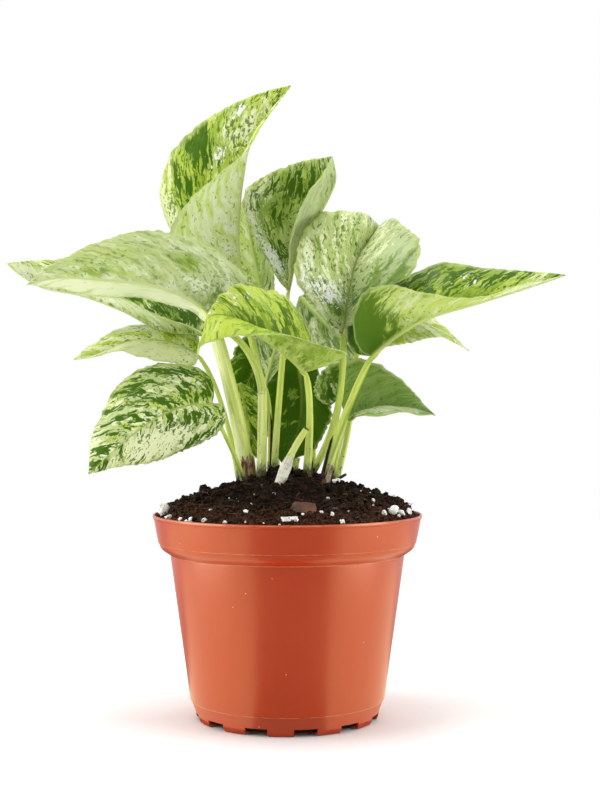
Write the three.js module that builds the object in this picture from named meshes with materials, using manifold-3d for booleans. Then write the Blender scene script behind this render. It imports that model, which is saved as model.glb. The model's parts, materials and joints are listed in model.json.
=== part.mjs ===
import * as THREE from 'three';
import { mergeVertices } from 'three/addons/utils/BufferGeometryUtils.js';
import Module from 'manifold-3d';

// A pothos plant in a plastic nursery pot. Millimetres, +Z up, +X to the right of the front,
// the front along -Y. The origin is the middle of the pot's flat underside.

const wasm = await Module();
wasm.setup();

// pot
const rimRadius = 76;
const potHeight = 114.5;
const baseRadius = 51.3;
const bodyTopRadius = 65.8;
const bodyTopZ = 89.6;
const bandBottomRadius = 72.4;
const bandBottomZ = 96.2;
const lipHeight = 1.8;
const wallThickness = 1.2;
const floorThickness = 1.5;
const potSides = 48;
const drainSlots = 12;
const drainSlotWidth = 12.8;
const drainSlotHeight = 4.2;
const drainSlotInnerRadius = 43;
const drainSlotTurn = THREE.MathUtils.degToRad(11.5);

// soil
const fit = 0.3;
const sliver = 0.03;
const moundPeakZ = 140.5;
const moundSlope = 0.32;
const moundEdgeZ = 112.6;
const moundRings = 9;
const soilRelief = 0.9;
const crumbCount = 26;
const crumbSizes = [1.4, 2.6];

// blades and stalks
const bladeThickness = 0.8;
const bladeRows = 9;
const bladeColumns = 2;
const veinCrowding = 1.45;
const bladeArch = 0.1;
const veinSweep = 0.08;
const stalkSides = 8;
const stalkSteps = 6;

// Each blade is drawn by its midrib, from the stalk to the tip, and by its left and right margins
// seen on the upper face with the tip ahead, from the back of the heart-shaped lobes to the tip.
const blades = {
  tall: {
    midrib: [[-27, 8, 244], [-29, 10, 274], [-26, 8, 306], [-20, 2, 328], [2, -8, 355]],
    left: [[-27, 14, 235], [-51, 20, 244], [-67, 22, 272], [-74, 20, 301], [-63, 16, 327],
      [-36, 6, 345], [-14, -3, 352]],
    right: [[-34, 2, 235], [-55, -10, 245], [-65, -16, 267], [-57, -18, 286], [-37, -12, 306],
      [-22, -6, 319], [-10, -8, 339]],
    stalk: { route: [[-14, -4, 181], [-15, 2, 196], [-24, 7, 224]], radii: [2.5, 1.6] },
    color: '#8fb43c',
  },
  upper: {
    midrib: [[0, 16, 242], [5, 17, 264], [9, 16, 275], [17, 12, 284], [24, 6, 296], [27, 0, 304],
      [25, -4, 316]],
    left: [[-4, 16, 246], [-17, 16, 269], [-26, 18, 297], [-8, 12, 310], [12, 4, 315]],
    right: [[1, 10, 247], [2, 2, 260], [4, -8, 278], [10, -12, 290], [16, -12, 300], [21, -9, 308]],
    stalk: { route: [[-8, 6, 127], [-7, 8, 161], [-3, 13, 196]], radii: [2.1, 1.6] },
    color: '#5f8f45',
  },
  cupped: {
    midrib: [[32, 5, 221], [36, 8, 244], [40, 18, 260], [48, 32, 273], [56, 52, 283]],
    left: [[30, 3, 215], [17, -5, 229], [4, -11, 246], [6, -6, 263], [14, 4, 279], [30, 16, 288],
      [46, 32, 289]],
    right: [[37, 1, 221], [41, -2, 231], [50, -4, 240], [67, -4, 248], [75, 4, 264], [70, 20, 278],
      [61, 36, 286]],
    stalk: { route: [[8, 4, 128], [33, 1, 164], [31, 2, 190]], radii: [2.3, 1.7] },
    color: '#a3b98b',
  },
  long_right: {
    midrib: [[47, -8, 203], [59, -8, 213], [77, -6, 224], [109, -2, 234], [138, 3, 243], [159, 6, 250]],
    left: [[38, 2, 206], [33, 10, 220], [41, 15, 236], [62, 18, 248], [88, 18, 257], [117, 14, 255],
      [142, 9, 252]],
    right: [[41, -12, 206], [36, -20, 223], [42, -23, 238], [57, -22, 242], [79, -16, 237],
      [108, -8, 237], [137, 0, 245]],
    stalk: { route: [[19, -4, 124], [26, -5, 156], [35, -7, 179]], radii: [3.1, 1.8] },
    color: '#7fa83a',
  },
  drooping: {
    midrib: [[40, 27, 221], [57, 26, 224], [77, 24, 224], [93, 20, 217], [105, 16, 207]],
    left: [[39, 36, 231], [52, 44, 240], [76, 42, 237], [91, 30, 223], [99, 21, 213]],
    right: [[37, 20, 213], [44, 12, 207], [67, 6, 211], [87, 9, 214], [98, 13, 211]],
    stalk: { route: [[25, 27, 120], [40, 50, 165], [42, 46, 200]], radii: [2, 1.3] },
    color: '#9fc14a',
  },
  low_right: {
    midrib: [[34, 6, 168], [44, 8, 172], [61, 8, 174], [75, 5, 173], [84, 1, 170]],
    left: [[31, 11, 176], [30, 17, 190], [36, 22, 201], [50, 25, 201], [65, 21, 191], [78, 10, 177]],
    right: [[35, -1, 167], [41, -13, 169], [56, -20, 171], [71, -11, 171]],
    stalk: { route: [[24, 8, 123], [27, 9, 144], [30, 8, 158]], radii: [2, 1.4] },
    color: '#4f7d43',
  },
  small: {
    midrib: [[29, 18, 179], [33, 22, 186], [38, 26, 191], [45, 31, 195]],
    left: [[25, 16, 176], [18, 18, 178], [15, 22, 186], [20, 27, 196], [34, 31, 201]],
    right: [[33, 18, 176], [40, 20, 178], [46, 24, 183], [48, 28, 189]],
    stalk: { route: [[20, 16, 124], [26, 20, 152], [30, 18, 167]], radii: [1.6, 1.1] },
    color: '#6d9350',
  },
  broad_left: {
    midrib: [[-43, -20, 226], [-53, -21, 234], [-75, -22, 242], [-103, -22, 245], [-126, -22, 246],
      [-143, -24, 242]],
    left: [[-36, -24, 226], [-22, -32, 243], [-30, -38, 253], [-44, -41, 263], [-73, -42, 269],
      [-101, -38, 264], [-129, -29, 252]],
    right: [[-45, -17, 222], [-57, -6, 230], [-78, -2, 235], [-102, -3, 237], [-124, -10, 240],
      [-138, -19, 242]],
    stalk: { route: [[-21, 2, 122], [-25, -2, 156], [-32, -12, 192]], radii: [4.9, 3.3] },
    color: '#b2c88a',
  },
  trough_left: {
    midrib: [[-46, 12, 217], [-72, 12, 219], [-94, 12, 230], [-119, 10, 239], [-140, 6, 243],
      [-152, 2, 250], [-159, 0, 256]],
    left: [[-45, 2, 213], [-55, -1, 220], [-72, -3, 227], [-95, -1, 236], [-118, 2, 247],
      [-140, 2, 255], [-151, 0, 256]],
    right: [[-44, 22, 222], [-52, 34, 238], [-76, 38, 250], [-105, 34, 258], [-129, 24, 260],
      [-147, 12, 259]],
    stalk: { route: [[-14, -4, 183], [-17, 2, 207], [-36, 8, 225]], radii: [2.6, 1.5] },
    color: '#6f9c46',
  },
  lime_left: {
    midrib: [[-52, 8, 205], [-64, 6, 211], [-79, 2, 213], [-93, -4, 210], [-105, -9, 204],
      [-119, -13, 201]],
    left: [[-51, 2, 201], [-56, -6, 198], [-71, -16, 200], [-90, -19, 205], [-105, -16, 203]],
    right: [[-51, 16, 211], [-54, 24, 219], [-75, 28, 222], [-91, 24, 222], [-104, 10, 216],
      [-113, -4, 208]],
    stalk: { route: [[-26, 8, 122], [-32, 6, 161], [-40, 8, 191]], radii: [1.7, 1.2] },
    color: '#a9c455',
  },
  hanging_left: {
    midrib: [[-41, -28, 176], [-52, -34, 176], [-68, -40, 170], [-86, -44, 157], [-106, -44, 139]],
    left: [[-36, -25, 176], [-33, -23, 170], [-38, -23, 161], [-53, -28, 152], [-74, -36, 145],
      [-93, -42, 142]],
    right: [[-40, -25, 183], [-43, -20, 191], [-54, -16, 198], [-71, -16, 199], [-88, -20, 191],
      [-100, -28, 175], [-105, -36, 158]],
    stalk: { route: [[-21, -9, 123], [-26, -14, 145], [-37, -20, 162]], radii: [1.4, 1] },
    color: '#c3d29a',
  },
  arched_front: {
    midrib: [[10, -14, 194], [-1, -24, 204], [-16, -36, 214], [-30, -46, 223], [-40, -54, 223],
      [-44, -60, 213], [-47, -64, 199]],
    left: [[17, -18, 196], [29, -27, 200], [32, -32, 204], [21, -40, 208], [2, -50, 212],
      [-19, -62, 213], [-37, -70, 209], [-44, -69, 206]],
    right: [[15, -6, 202], [15, -4, 211], [8, -8, 226], [-4, -18, 237], [-23, -38, 241],
      [-34, -45, 235], [-41, -52, 225]],
    stalk: { route: [[10, -6, 125], [14, -9, 167], [13, -12, 184]], radii: [2.8, 1.7] },
    color: '#8cb93a',
  },
  back_upper: {
    midrib: [[-15, 30, 239], [-18, 34, 255], [-22, 38, 274], [-27, 42, 298]],
    left: [[-9, 28, 241], [-8, 26, 253], [-15, 31, 269], [-19, 37, 284]],
    right: [[-21, 30, 239], [-33, 36, 250], [-38, 42, 268], [-34, 45, 286]],
    stalk: { route: [[-5, 34, 122], [-9, 56, 165], [-13, 60, 205]], radii: [1.9, 1.3] },
    color: '#a5bf72',
  },
  back_middle: {
    midrib: [[7, 57, 241], [18, 54, 229], [31, 49, 216], [44, 42, 206]],
    left: [[5, 56, 237], [5, 50, 217], [16, 44, 201], [33, 42, 200]],
    right: [[13, 60, 245], [34, 56, 239], [41, 48, 223]],
    stalk: { route: [[4, 40, 119], [4, 64, 167], [-1, 72, 209]], radii: [1.9, 1.3] },
    color: '#9cb57d',
  },
  back_hanging: {
    midrib: [[6, 41, 201], [8, 36, 182], [6, 30, 161], [-3, 24, 141]],
    left: [[13, 40, 202], [22, 32, 186], [25, 26, 167], [15, 23, 150]],
    right: [[0, 44, 204], [-12, 40, 192], [-15, 32, 170], [-10, 26, 152]],
    stalk: { route: [[14, 34, 120], [17, 60, 166], [14, 62, 203]], radii: [1.9, 1.3] },
    color: '#41702f',
  },
  back_dark: {
    midrib: [[-12, 31, 218], [-16, 28, 205], [-23, 25, 190], [-29, 23, 177]],
    left: [[-9, 31, 213], [-10, 27, 196], [-19, 24, 182]],
    right: [[-18, 31, 220], [-29, 29, 212], [-35, 26, 195]],
    stalk: { route: [[-17, 25, 122], [-27, 38, 160], [-22, 44, 205]], radii: [1.7, 1.2] },
    color: '#4a7a36',
  },
  narrow: {
    midrib: [[-28, 15, 188], [-24, 14, 173], [-21, 13, 160], [-18, 12, 145]],
    left: [[-23, 15, 187], [-14, 15, 177], [-13, 13, 158]],
    right: [[-31, 15, 186], [-32, 14, 173], [-26, 12, 157]],
    stalk: { route: [[-19, 17, 123], [-28, 22, 155], [-36, 21, 180]], radii: [1.5, 1.1] },
    color: '#7d9440',
  },
  back_upright: {
    midrib: [[-13, 16, 187], [-9, 20, 202], [-5, 26, 217], [-1, 36, 238]],
    left: [[-10, 15, 190], [1, 18, 206], [6, 28, 224]],
    right: [[-15, 17, 190], [-21, 22, 207], [-15, 31, 227]],
    stalk: { route: [[-11, 12, 126], [-10, 16, 155], [-9, 18, 173]], radii: [1.5, 1.1] },
    color: '#a8c27c',
  },
};

// the stem that two stalks spring from, and two cut stubs beside the stalks
const twinStem = {
  route: [[-15, -6, 122], [-14, -6, 156], [-14, -4, 179], [-14, -3, 185]],
  radii: [2.9, 2.7],
};
const twinStalks = ['tall', 'trough_left'];
const stubs = {
  stub_tall: { route: [[-6, -12, 123], [-1, -12, 142], [2, -13, 150], [11, -15, 163]], radii: [2, 1.6] },
  stub_short: { route: [[3, -8, 129], [4, -8, 135], [5, -8, 141], [6, -8, 146]], radii: [1.1, 0.9] },
};

// white mineral grains on the soil, [x, y, radius], most of them along the front edge
const mineralGrains = [[-68, -22, 3.4], [-62, -32, 2], [-55, -42, 1.8], [-50, -48, 1.9], [-42, -56, 1.7],
  [-30, -60, 1.6], [-21, -62, 1.7], [9, -62, 1.8], [18, -60, 1.5], [24, -62, 1.6], [32, -63, 1.9],
  [22, -38, 1.8], [53, -44, 1.7], [60, -36, 2], [66, -26, 1.8], [34, 10, 1.7], [-40, 40, 2], [20, 58, 2.2]];

let seed = 7;
function random() {
  seed = (seed * 1664525 + 1013904223) % 4294967296;
  return seed / 4294967296;
}

function vector(point) {
  return new THREE.Vector3(...point);
}

function toSolid(geometry) {
  const bare = geometry.clone();
  bare.deleteAttribute('normal');
  bare.deleteAttribute('uv');
  const merged = mergeVertices(bare, 1e-5);
  return new wasm.Manifold(new wasm.Mesh({
    numProp: 3,
    vertProperties: new Float32Array(merged.attributes.position.array),
    triVerts: new Uint32Array(merged.index.array),
  }));
}

function toGeometry(solid) {
  const mesh = solid.simplify(sliver).getMesh();
  const geometry = new THREE.BufferGeometry();
  geometry.setAttribute('position', new THREE.BufferAttribute(new Float32Array(mesh.vertProperties), 3));
  geometry.setIndex(new THREE.BufferAttribute(new Uint32Array(mesh.triVerts), 1));
  return geometry;
}

function largestPiece(solid) {
  const pieces = solid.decompose();
  return pieces.reduce((largest, piece) => (piece.volume() > largest.volume() ? piece : largest));
}

// A stalk: a closed cylinder, thinner to its far end, bent along its route.
function stalkGeometry(route, radii) {
  const path = new THREE.CubicBezierCurve3(...route.map(vector));
  const geometry = new THREE.CylinderGeometry(radii[1], radii[0], 1, stalkSides, stalkSteps);
  const position = geometry.attributes.position;
  const side = new THREE.Vector3();
  const other = new THREE.Vector3();
  for (let index = 0; index < position.count; index += 1) {
    const along = position.getY(index) + 0.5;
    const ahead = path.getTangent(along);
    side.set(0, 1, 0).cross(ahead).normalize();
    other.crossVectors(ahead, side);
    const point = path.getPoint(along);
    point.addScaledVector(side, position.getX(index));
    point.addScaledVector(other, -position.getZ(index));
    position.setXYZ(index, point.x, point.y, point.z);
  }
  return geometry;
}

// The same stalk grown by the fit all round and past both ends, to cut what it stands in.
function stalkCutter(route, radii) {
  const points = route.map(vector);
  const first = points[0].clone().sub(points[1]).setLength(fit);
  const last = points[3].clone().sub(points[2]).setLength(fit);
  points[0].add(first);
  points[3].add(last);
  return toSolid(stalkGeometry(points.map((point) => point.toArray()), radii.map((radius) => radius + fit)));
}

function stalkRoute(blade) {
  return [...blade.stalk.route, blade.midrib[0]];
}

function marginCurve(blade, margin) {
  return new THREE.CatmullRomCurve3([blade.midrib[0], ...margin, blade.midrib.at(-1)].map(vector));
}

// Rows of points across the blade from the left margin over the midrib to the right margin.
// The first and the last row shrink to the base and to the tip.
function bladeSurface(blade) {
  const midrib = new THREE.CatmullRomCurve3(blade.midrib.map(vector));
  const margins = [marginCurve(blade, blade.left), marginCurve(blade, blade.right)];
  const rows = [];
  for (let row = 0; row <= bladeRows; row += 1) {
    const share = row / bladeRows;
    const spine = midrib.getPointAt(share ** veinCrowding);
    const ahead = midrib.getTangentAt(share ** veinCrowding);
    const points = [];
    for (let column = -bladeColumns; column <= bladeColumns; column += 1) {
      const reach = Math.abs(column) / bladeColumns;
      const out = margins[column < 0 ? 0 : 1].getPointAt(share).sub(spine);
      const arch = 4 * reach * (1 - reach) * out.length();
      const up = column < 0 ? ahead.clone().cross(out) : out.clone().cross(ahead);
      const point = spine.clone().addScaledVector(out, reach);
      point.addScaledVector(ahead, -arch * veinSweep * Math.sin(Math.PI * share) ** 0.5);
      point.addScaledVector(up.normalize(), arch * bladeArch);
      points.push(point);
    }
    rows.push(points);
  }
  return rows;
}

// Square to the upper face; on the midrib it lies midway between the two halves.
function surfaceNormal(rows, row, column) {
  const near = Math.min(Math.max(row, 1), rows.length - 2);
  const middle = near === row ? column : bladeColumns;
  const along = rows[near + 1][middle].clone().sub(rows[near - 1][middle]);
  const normal = new THREE.Vector3();
  for (const step of [-1, 1]) {
    const neighbour = rows[near][middle + step];
    if (!neighbour) continue;
    const across = neighbour.clone().sub(rows[near][middle]).multiplyScalar(step);
    normal.add(across.cross(along).normalize());
  }
  return normal.normalize();
}

// The blade as a thin closed solid: both faces have the same points and the same triangles.
function bladeGeometry(blade) {
  const rows = bladeSurface(blade);
  const width = rows[0].length;
  const count = rows.length * width;
  const vertices = [];
  for (const depth of [0, bladeThickness]) {
    rows.forEach((points, row) => points.forEach((point, column) => {
      const offset = surfaceNormal(rows, row, column).multiplyScalar(-depth);
      vertices.push(...point.clone().add(offset).toArray());
    }));
  }
  const triangles = [];
  for (let row = 0; row + 1 < rows.length; row += 1) {
    for (let column = 0; column + 1 < width; column += 1) {
      const corner = row * width + column;
      const quads = column < bladeColumns
        ? [[corner, corner + 1, corner + width + 1], [corner, corner + width + 1, corner + width]]
        : [[corner, corner + 1, corner + width], [corner + 1, corner + width + 1, corner + width]];
      for (const corners of quads) {
        const [a, b, c] = corners.map((vertex) => {
          if (vertex < width) return bladeColumns;
          return vertex < count - width ? vertex : count - width + bladeColumns;
        });
        if (a === b || b === c || c === a) continue;
        triangles.push(a, b, c, a + count, c + count, b + count);
      }
    }
  }
  const rim = [bladeColumns];
  for (let row = 1; row + 1 < rows.length; row += 1) rim.push(row * width + width - 1);
  rim.push(count - width + bladeColumns);
  for (let row = rows.length - 2; row > 0; row -= 1) rim.push(row * width);
  rim.forEach((from, index) => {
    const to = rim[(index + 1) % rim.length];
    triangles.push(from, from + count, to, to, from + count, to + count);
  });
  const geometry = new THREE.BufferGeometry();
  geometry.setAttribute('position', new THREE.Float32BufferAttribute(vertices, 3));
  geometry.setIndex(triangles);
  return geometry;
}

// The outside of the pot from its base up to the rim, [radius, z].
function potOutline() {
  return [
    [baseRadius - 1.2, 0],
    [baseRadius, 1.4],
    [baseRadius + 3.4, 12],
    [bodyTopRadius, bodyTopZ],
    [bodyTopRadius + 0.8, bodyTopZ + 1.6],
    [bandBottomRadius - 1.2, bandBottomZ - 1.8],
    [bandBottomRadius, bandBottomZ],
    [rimRadius - 0.7, potHeight - lipHeight - 0.6],
    [rimRadius, potHeight - lipHeight],
    [rimRadius, potHeight],
  ];
}

// An outline moved in by a distance, square to its own run.
function movedIn(outline, distance) {
  return outline.map(([radius, z], index) => {
    const [fromRadius, fromZ] = outline[Math.max(index - 1, 0)];
    const [toRadius, toZ] = outline[Math.min(index + 1, outline.length - 1)];
    const run = Math.hypot(toRadius - fromRadius, toZ - fromZ);
    return [radius - distance * (toZ - fromZ) / run, z + distance * (toRadius - fromRadius) / run];
  });
}

function lathe(points) {
  return new THREE.LatheGeometry(points.map(([radius, z]) => new THREE.Vector2(radius, z)), potSides)
    .rotateX(Math.PI / 2);
}

function drainSlot(index) {
  const depth = baseRadius + 10 - drainSlotInnerRadius;
  const slot = new THREE.BoxGeometry(depth, drainSlotWidth, drainSlotHeight * 2);
  slot.translate(drainSlotInnerRadius + depth / 2, 0, 0);
  slot.rotateZ(-Math.PI / 2 + drainSlotTurn + index * 2 * Math.PI / drainSlots);
  return toSolid(slot);
}

function potSolid() {
  const outside = potOutline();
  const inside = movedIn(outside, wallThickness).slice(2);
  inside.unshift([baseRadius - 1.6, floorThickness]);
  inside.at(-1)[1] = potHeight;
  let pot = toSolid(lathe([[0, 0], ...outside, ...inside.reverse(), [0, floorThickness]]));
  for (let index = 0; index < drainSlots; index += 1) pot = pot.subtract(drainSlot(index));
  return pot;
}

// The mound's height: a cone with a round top, rolled down to the wall at its edge, and bumpy.
function moundHeight(x, y) {
  const radius = Math.hypot(x, y);
  const cone = moundPeakZ - moundSlope * Math.sqrt(radius * radius + 60);
  const bumps = Math.sin(x * 0.31 + 1.3 * Math.sin(y * 0.17)) * Math.cos(y * 0.27 + x * 0.09)
    + 0.6 * Math.sin(x * 0.13 - y * 0.19 + 2);
  const inner = rimRadius - wallThickness - fit - 0.8;
  const roll = Math.max(0, (radius - inner + 9) / 9) ** 2.5;
  return THREE.MathUtils.lerp(cone + soilRelief * bumps, moundEdgeZ, Math.min(roll, 1));
}

function soilBody() {
  const side = movedIn(potOutline(), wallThickness + fit).slice(2, -2);
  side.unshift([baseRadius - 2.1, floorThickness + fit]);
  const edge = side.at(-1)[0];
  const top = [];
  for (let ring = 0; ring < moundRings; ring += 1) {
    top.push([edge * (1 - (ring / moundRings) ** 1.15), moundEdgeZ + 1]);
  }
  top[0][1] = moundEdgeZ;
  const geometry = lathe([[0, floorThickness + fit], ...side, ...top.slice(1), [0, moundEdgeZ + 1]]);
  const position = geometry.attributes.position;
  for (let index = 0; index < position.count; index += 1) {
    if (position.getZ(index) > moundEdgeZ + 0.5) {
      position.setZ(index, moundHeight(position.getX(index), position.getY(index)));
    }
  }
  return toSolid(geometry);
}

// A rough lump sunk to its middle in the soil.
function lump(x, y, radius) {
  const geometry = new THREE.IcosahedronGeometry(radius, 0);
  geometry.rotateX(random() * Math.PI);
  geometry.rotateZ(random() * Math.PI);
  geometry.scale(1, 0.8 + 0.3 * random(), 0.9);
  geometry.translate(x, y, moundHeight(x, y) + 0.1 * radius);
  return toSolid(geometry);
}

function soilSolid(cutters) {
  let soil = soilBody();
  for (const [x, y, radius] of mineralGrains) soil = soil.add(lump(x, y, radius));
  for (let index = 0; index < crumbCount; index += 1) {
    const turn = index * 2.4 + random();
    const reach = 14 + 50 * Math.sqrt(random());
    const radius = THREE.MathUtils.lerp(...crumbSizes, random());
    soil = soil.add(lump(reach * Math.cos(turn), reach * Math.sin(turn), radius));
  }
  for (const cutter of cutters) soil = soil.subtract(cutter);
  return largestPiece(soil);
}

function material(color, roughness) {
  return new THREE.MeshStandardMaterial({ color, roughness, metalness: 0, side: THREE.DoubleSide });
}

function addPiece(group, name, geometry, color, roughness) {
  const mesh = new THREE.Mesh(geometry, material(color, roughness));
  mesh.name = name;
  group.add(mesh);
}

const plant = new THREE.Group();
const routes = Object.entries(blades)
  .filter(([name]) => !twinStalks.includes(name))
  .map(([name, blade]) => [`petiole_${name}`, stalkRoute(blade), blade.stalk.radii]);
for (const [name, stub] of Object.entries(stubs)) routes.push([name, stub.route, stub.radii]);

addPiece(plant, 'pot', toGeometry(potSolid()), '#c4552f', 0.45);
const soilCutters = routes.map(([, route, radii]) => stalkCutter(route, radii));
soilCutters.push(stalkCutter(twinStem.route, twinStem.radii));
addPiece(plant, 'soil', toGeometry(soilSolid(soilCutters)), '#2a1c15', 0.95);

let twin = toSolid(stalkGeometry(twinStem.route, twinStem.radii));
for (const name of twinStalks) {
  twin = twin.add(toSolid(stalkGeometry(stalkRoute(blades[name]), blades[name].stalk.radii)));
}
addPiece(plant, 'stem_twin', toGeometry(largestPiece(twin)), '#bccf6e', 0.5);
for (const [name, route, radii] of routes) {
  addPiece(plant, name, stalkGeometry(route, radii), '#b5cb68', 0.5);
}
for (const [name, blade] of Object.entries(blades)) {
  const cutter = stalkCutter(stalkRoute(blade), blade.stalk.radii);
  const solid = largestPiece(toSolid(bladeGeometry(blade)).subtract(cutter));
  addPiece(plant, `blade_${name}`, toGeometry(solid), blade.color, 0.4);
}

export default plant;
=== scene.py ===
import json
import math
import random

import bpy
import numpy as np
from mathutils import Matrix, Vector, noise

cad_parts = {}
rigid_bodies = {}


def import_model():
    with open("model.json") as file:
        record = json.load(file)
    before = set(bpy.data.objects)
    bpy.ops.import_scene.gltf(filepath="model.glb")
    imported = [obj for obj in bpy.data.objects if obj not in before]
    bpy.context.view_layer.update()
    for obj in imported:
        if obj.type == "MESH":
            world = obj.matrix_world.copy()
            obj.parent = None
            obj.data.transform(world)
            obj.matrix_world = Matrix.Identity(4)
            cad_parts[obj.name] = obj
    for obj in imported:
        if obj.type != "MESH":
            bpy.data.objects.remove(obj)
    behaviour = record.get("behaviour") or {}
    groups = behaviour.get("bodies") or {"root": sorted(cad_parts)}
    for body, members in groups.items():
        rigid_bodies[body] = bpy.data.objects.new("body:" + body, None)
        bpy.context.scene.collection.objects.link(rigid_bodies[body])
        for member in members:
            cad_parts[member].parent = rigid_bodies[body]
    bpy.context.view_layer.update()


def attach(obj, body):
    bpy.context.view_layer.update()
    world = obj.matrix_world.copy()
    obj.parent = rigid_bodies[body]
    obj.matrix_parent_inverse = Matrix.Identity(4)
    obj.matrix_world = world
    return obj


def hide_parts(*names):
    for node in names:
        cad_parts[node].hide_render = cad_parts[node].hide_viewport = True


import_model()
mm = 0.001
random.seed(11)


def toLinear(hexColour):
    # sRGB hex to the linear values that the shaders take
    channels = [int(hexColour[i:i + 2], 16) / 255 for i in (1, 3, 5)]
    return [c / 12.92 if c <= 0.04045 else ((c + 0.055) / 1.055) ** 2.4 for c in channels] + [1.0]


def addNode(tree, kind, inputs=None, **settings):
    # one node with its settings; each input takes a node, a socket, an sRGB hex colour or a value
    node = tree.nodes.new("ShaderNode" + kind)
    for name, value in settings.items():
        setattr(node, name, value)
    for name, value in (inputs or {}).items():
        if isinstance(value, bpy.types.Node):
            value = value.outputs["Result"] if "Result" in value.outputs else value.outputs[0]
        if isinstance(value, bpy.types.NodeSocket):
            tree.links.new(value, node.inputs[name])
        else:
            node.inputs[name].default_value = toLinear(value) if isinstance(value, str) else value
    return node


def newMaterial(name):
    material = bpy.data.materials.new(name)
    material.use_nodes = True
    material.node_tree.nodes.clear()
    return material, material.node_tree


def paintWhere(tree, pattern, rise, under, over, most=1.0):
    # lays one colour over another where a pattern rises from one level to the next
    share = addNode(tree, "MapRange", {
        "Value": pattern, "From Min": rise[0], "From Max": rise[1], "To Max": most})
    return addNode(tree, "Mix", {"Factor": share, "A": under, "B": over}, data_type="RGBA")


def deselectAll():
    for thing in bpy.context.view_layer.objects:
        thing.select_set(False)


def makeActive(*pieces):
    deselectAll()
    for piece in pieces:
        piece.select_set(True)
    bpy.context.view_layer.objects.active = pieces[0]


def joinAll(pieces):
    makeActive(*pieces)
    bpy.ops.object.join()
    return pieces[0]


def nameNew(name, materials):
    piece = bpy.context.active_object
    piece.name = name
    piece.data.name = name
    for material in materials:
        piece.data.materials.append(material)
    return piece


def applyModifier(piece, kind, **settings):
    modifier = piece.modifiers.new(kind.title(), kind)
    for name, value in settings.items():
        setattr(modifier, name, value)
    makeActive(piece)
    bpy.ops.object.modifier_apply(modifier=modifier.name)


def editWhole(piece, operator, **settings):
    # runs one edit mode operator on all of a piece
    makeActive(piece)
    bpy.ops.object.mode_set(mode="EDIT")
    bpy.ops.mesh.select_all(action="SELECT")
    operator(**settings)
    bpy.ops.object.mode_set(mode="OBJECT")


def closeSeams(piece):
    editWhole(piece, bpy.ops.mesh.remove_doubles, threshold=0.01 * mm)


def facesOutward(piece):
    editWhole(piece, bpy.ops.mesh.normals_make_consistent, inside=False)


def keepAs(piece, slot, *nodes):
    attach(piece, "root")
    if nodes:
        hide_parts(*nodes)


def gridPiece(name, across, along, materials):
    # a flat grid whose points are then laid in place: across changes first, then along
    deselectAll()
    bpy.ops.mesh.primitive_grid_add(x_subdivisions=across, y_subdivisions=along, size=1, calc_uvs=True)
    return nameNew(name, materials)


def layPoints(piece, points):
    piece.data.vertices.foreach_set("co", (np.asarray(points) * mm).astype(np.float32).ravel())
    piece.data.update()


def writeAttribute(piece, name, kind, values):
    attribute = piece.data.attributes.new(name, kind, "POINT")
    field = {"FLOAT": "value", "FLOAT_COLOR": "color", "FLOAT_VECTOR": "vector"}[kind]
    attribute.data.foreach_set(field, np.asarray(values, np.float32).ravel())


def unit(vectors):
    return vectors / np.maximum(np.linalg.norm(vectors, axis=-1, keepdims=True), 1e-9)


def smoothCurve(points, shares):
    # a smooth curve through the points, read at shares of its length
    points = np.array(points, float)
    points = np.vstack([2 * points[0] - points[1], points, 2 * points[-1] - points[-2]])
    gaps = np.linalg.norm(np.diff(points, axis=0), axis=1) ** 0.5
    t = np.linspace(0, 1, 24, endpoint=False)[:, None]
    parts = []
    for i in range(1, len(points) - 2):
        before, start, end, after = points[i - 1:i + 3]
        g0, g1, g2 = gaps[i - 1:i + 2]
        leave = ((start - before) / g0 - (end - before) / (g0 + g1) + (end - start) / g1) * g1
        arrive = ((end - start) / g1 - (after - start) / (g1 + g2) + (after - end) / g2) * g1
        parts.append((2 * t ** 3 - 3 * t ** 2 + 1) * start + (t ** 3 - 2 * t ** 2 + t) * leave
                     + (3 * t ** 2 - 2 * t ** 3) * end + (t ** 3 - t ** 2) * arrive)
    line = np.vstack([*parts, points[-2]])
    run = np.concatenate([[0], np.cumsum(np.linalg.norm(np.diff(line, axis=0), axis=1))])
    return np.stack([np.interp(np.asarray(shares) * run[-1], run, line[:, k]) for k in range(3)], 1)


view = {"place": (7.09, -776.3, 178.6), "tilt": 90, "lens": 61.7, "film": 36}    # mm and degrees
camera = bpy.data.objects.new("camera", bpy.data.cameras.new("camera"))
bpy.context.scene.collection.objects.link(camera)
camera.location = Vector(view["place"]) * mm
camera.rotation_euler = (math.radians(view["tilt"]), 0, 0)
camera.data.lens = view["lens"]
camera.data.sensor_width = view["film"]
camera.data.clip_start = 0.01
bpy.context.scene.camera = camera
bpy.context.scene.view_settings.view_transform = "Standard"

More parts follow.
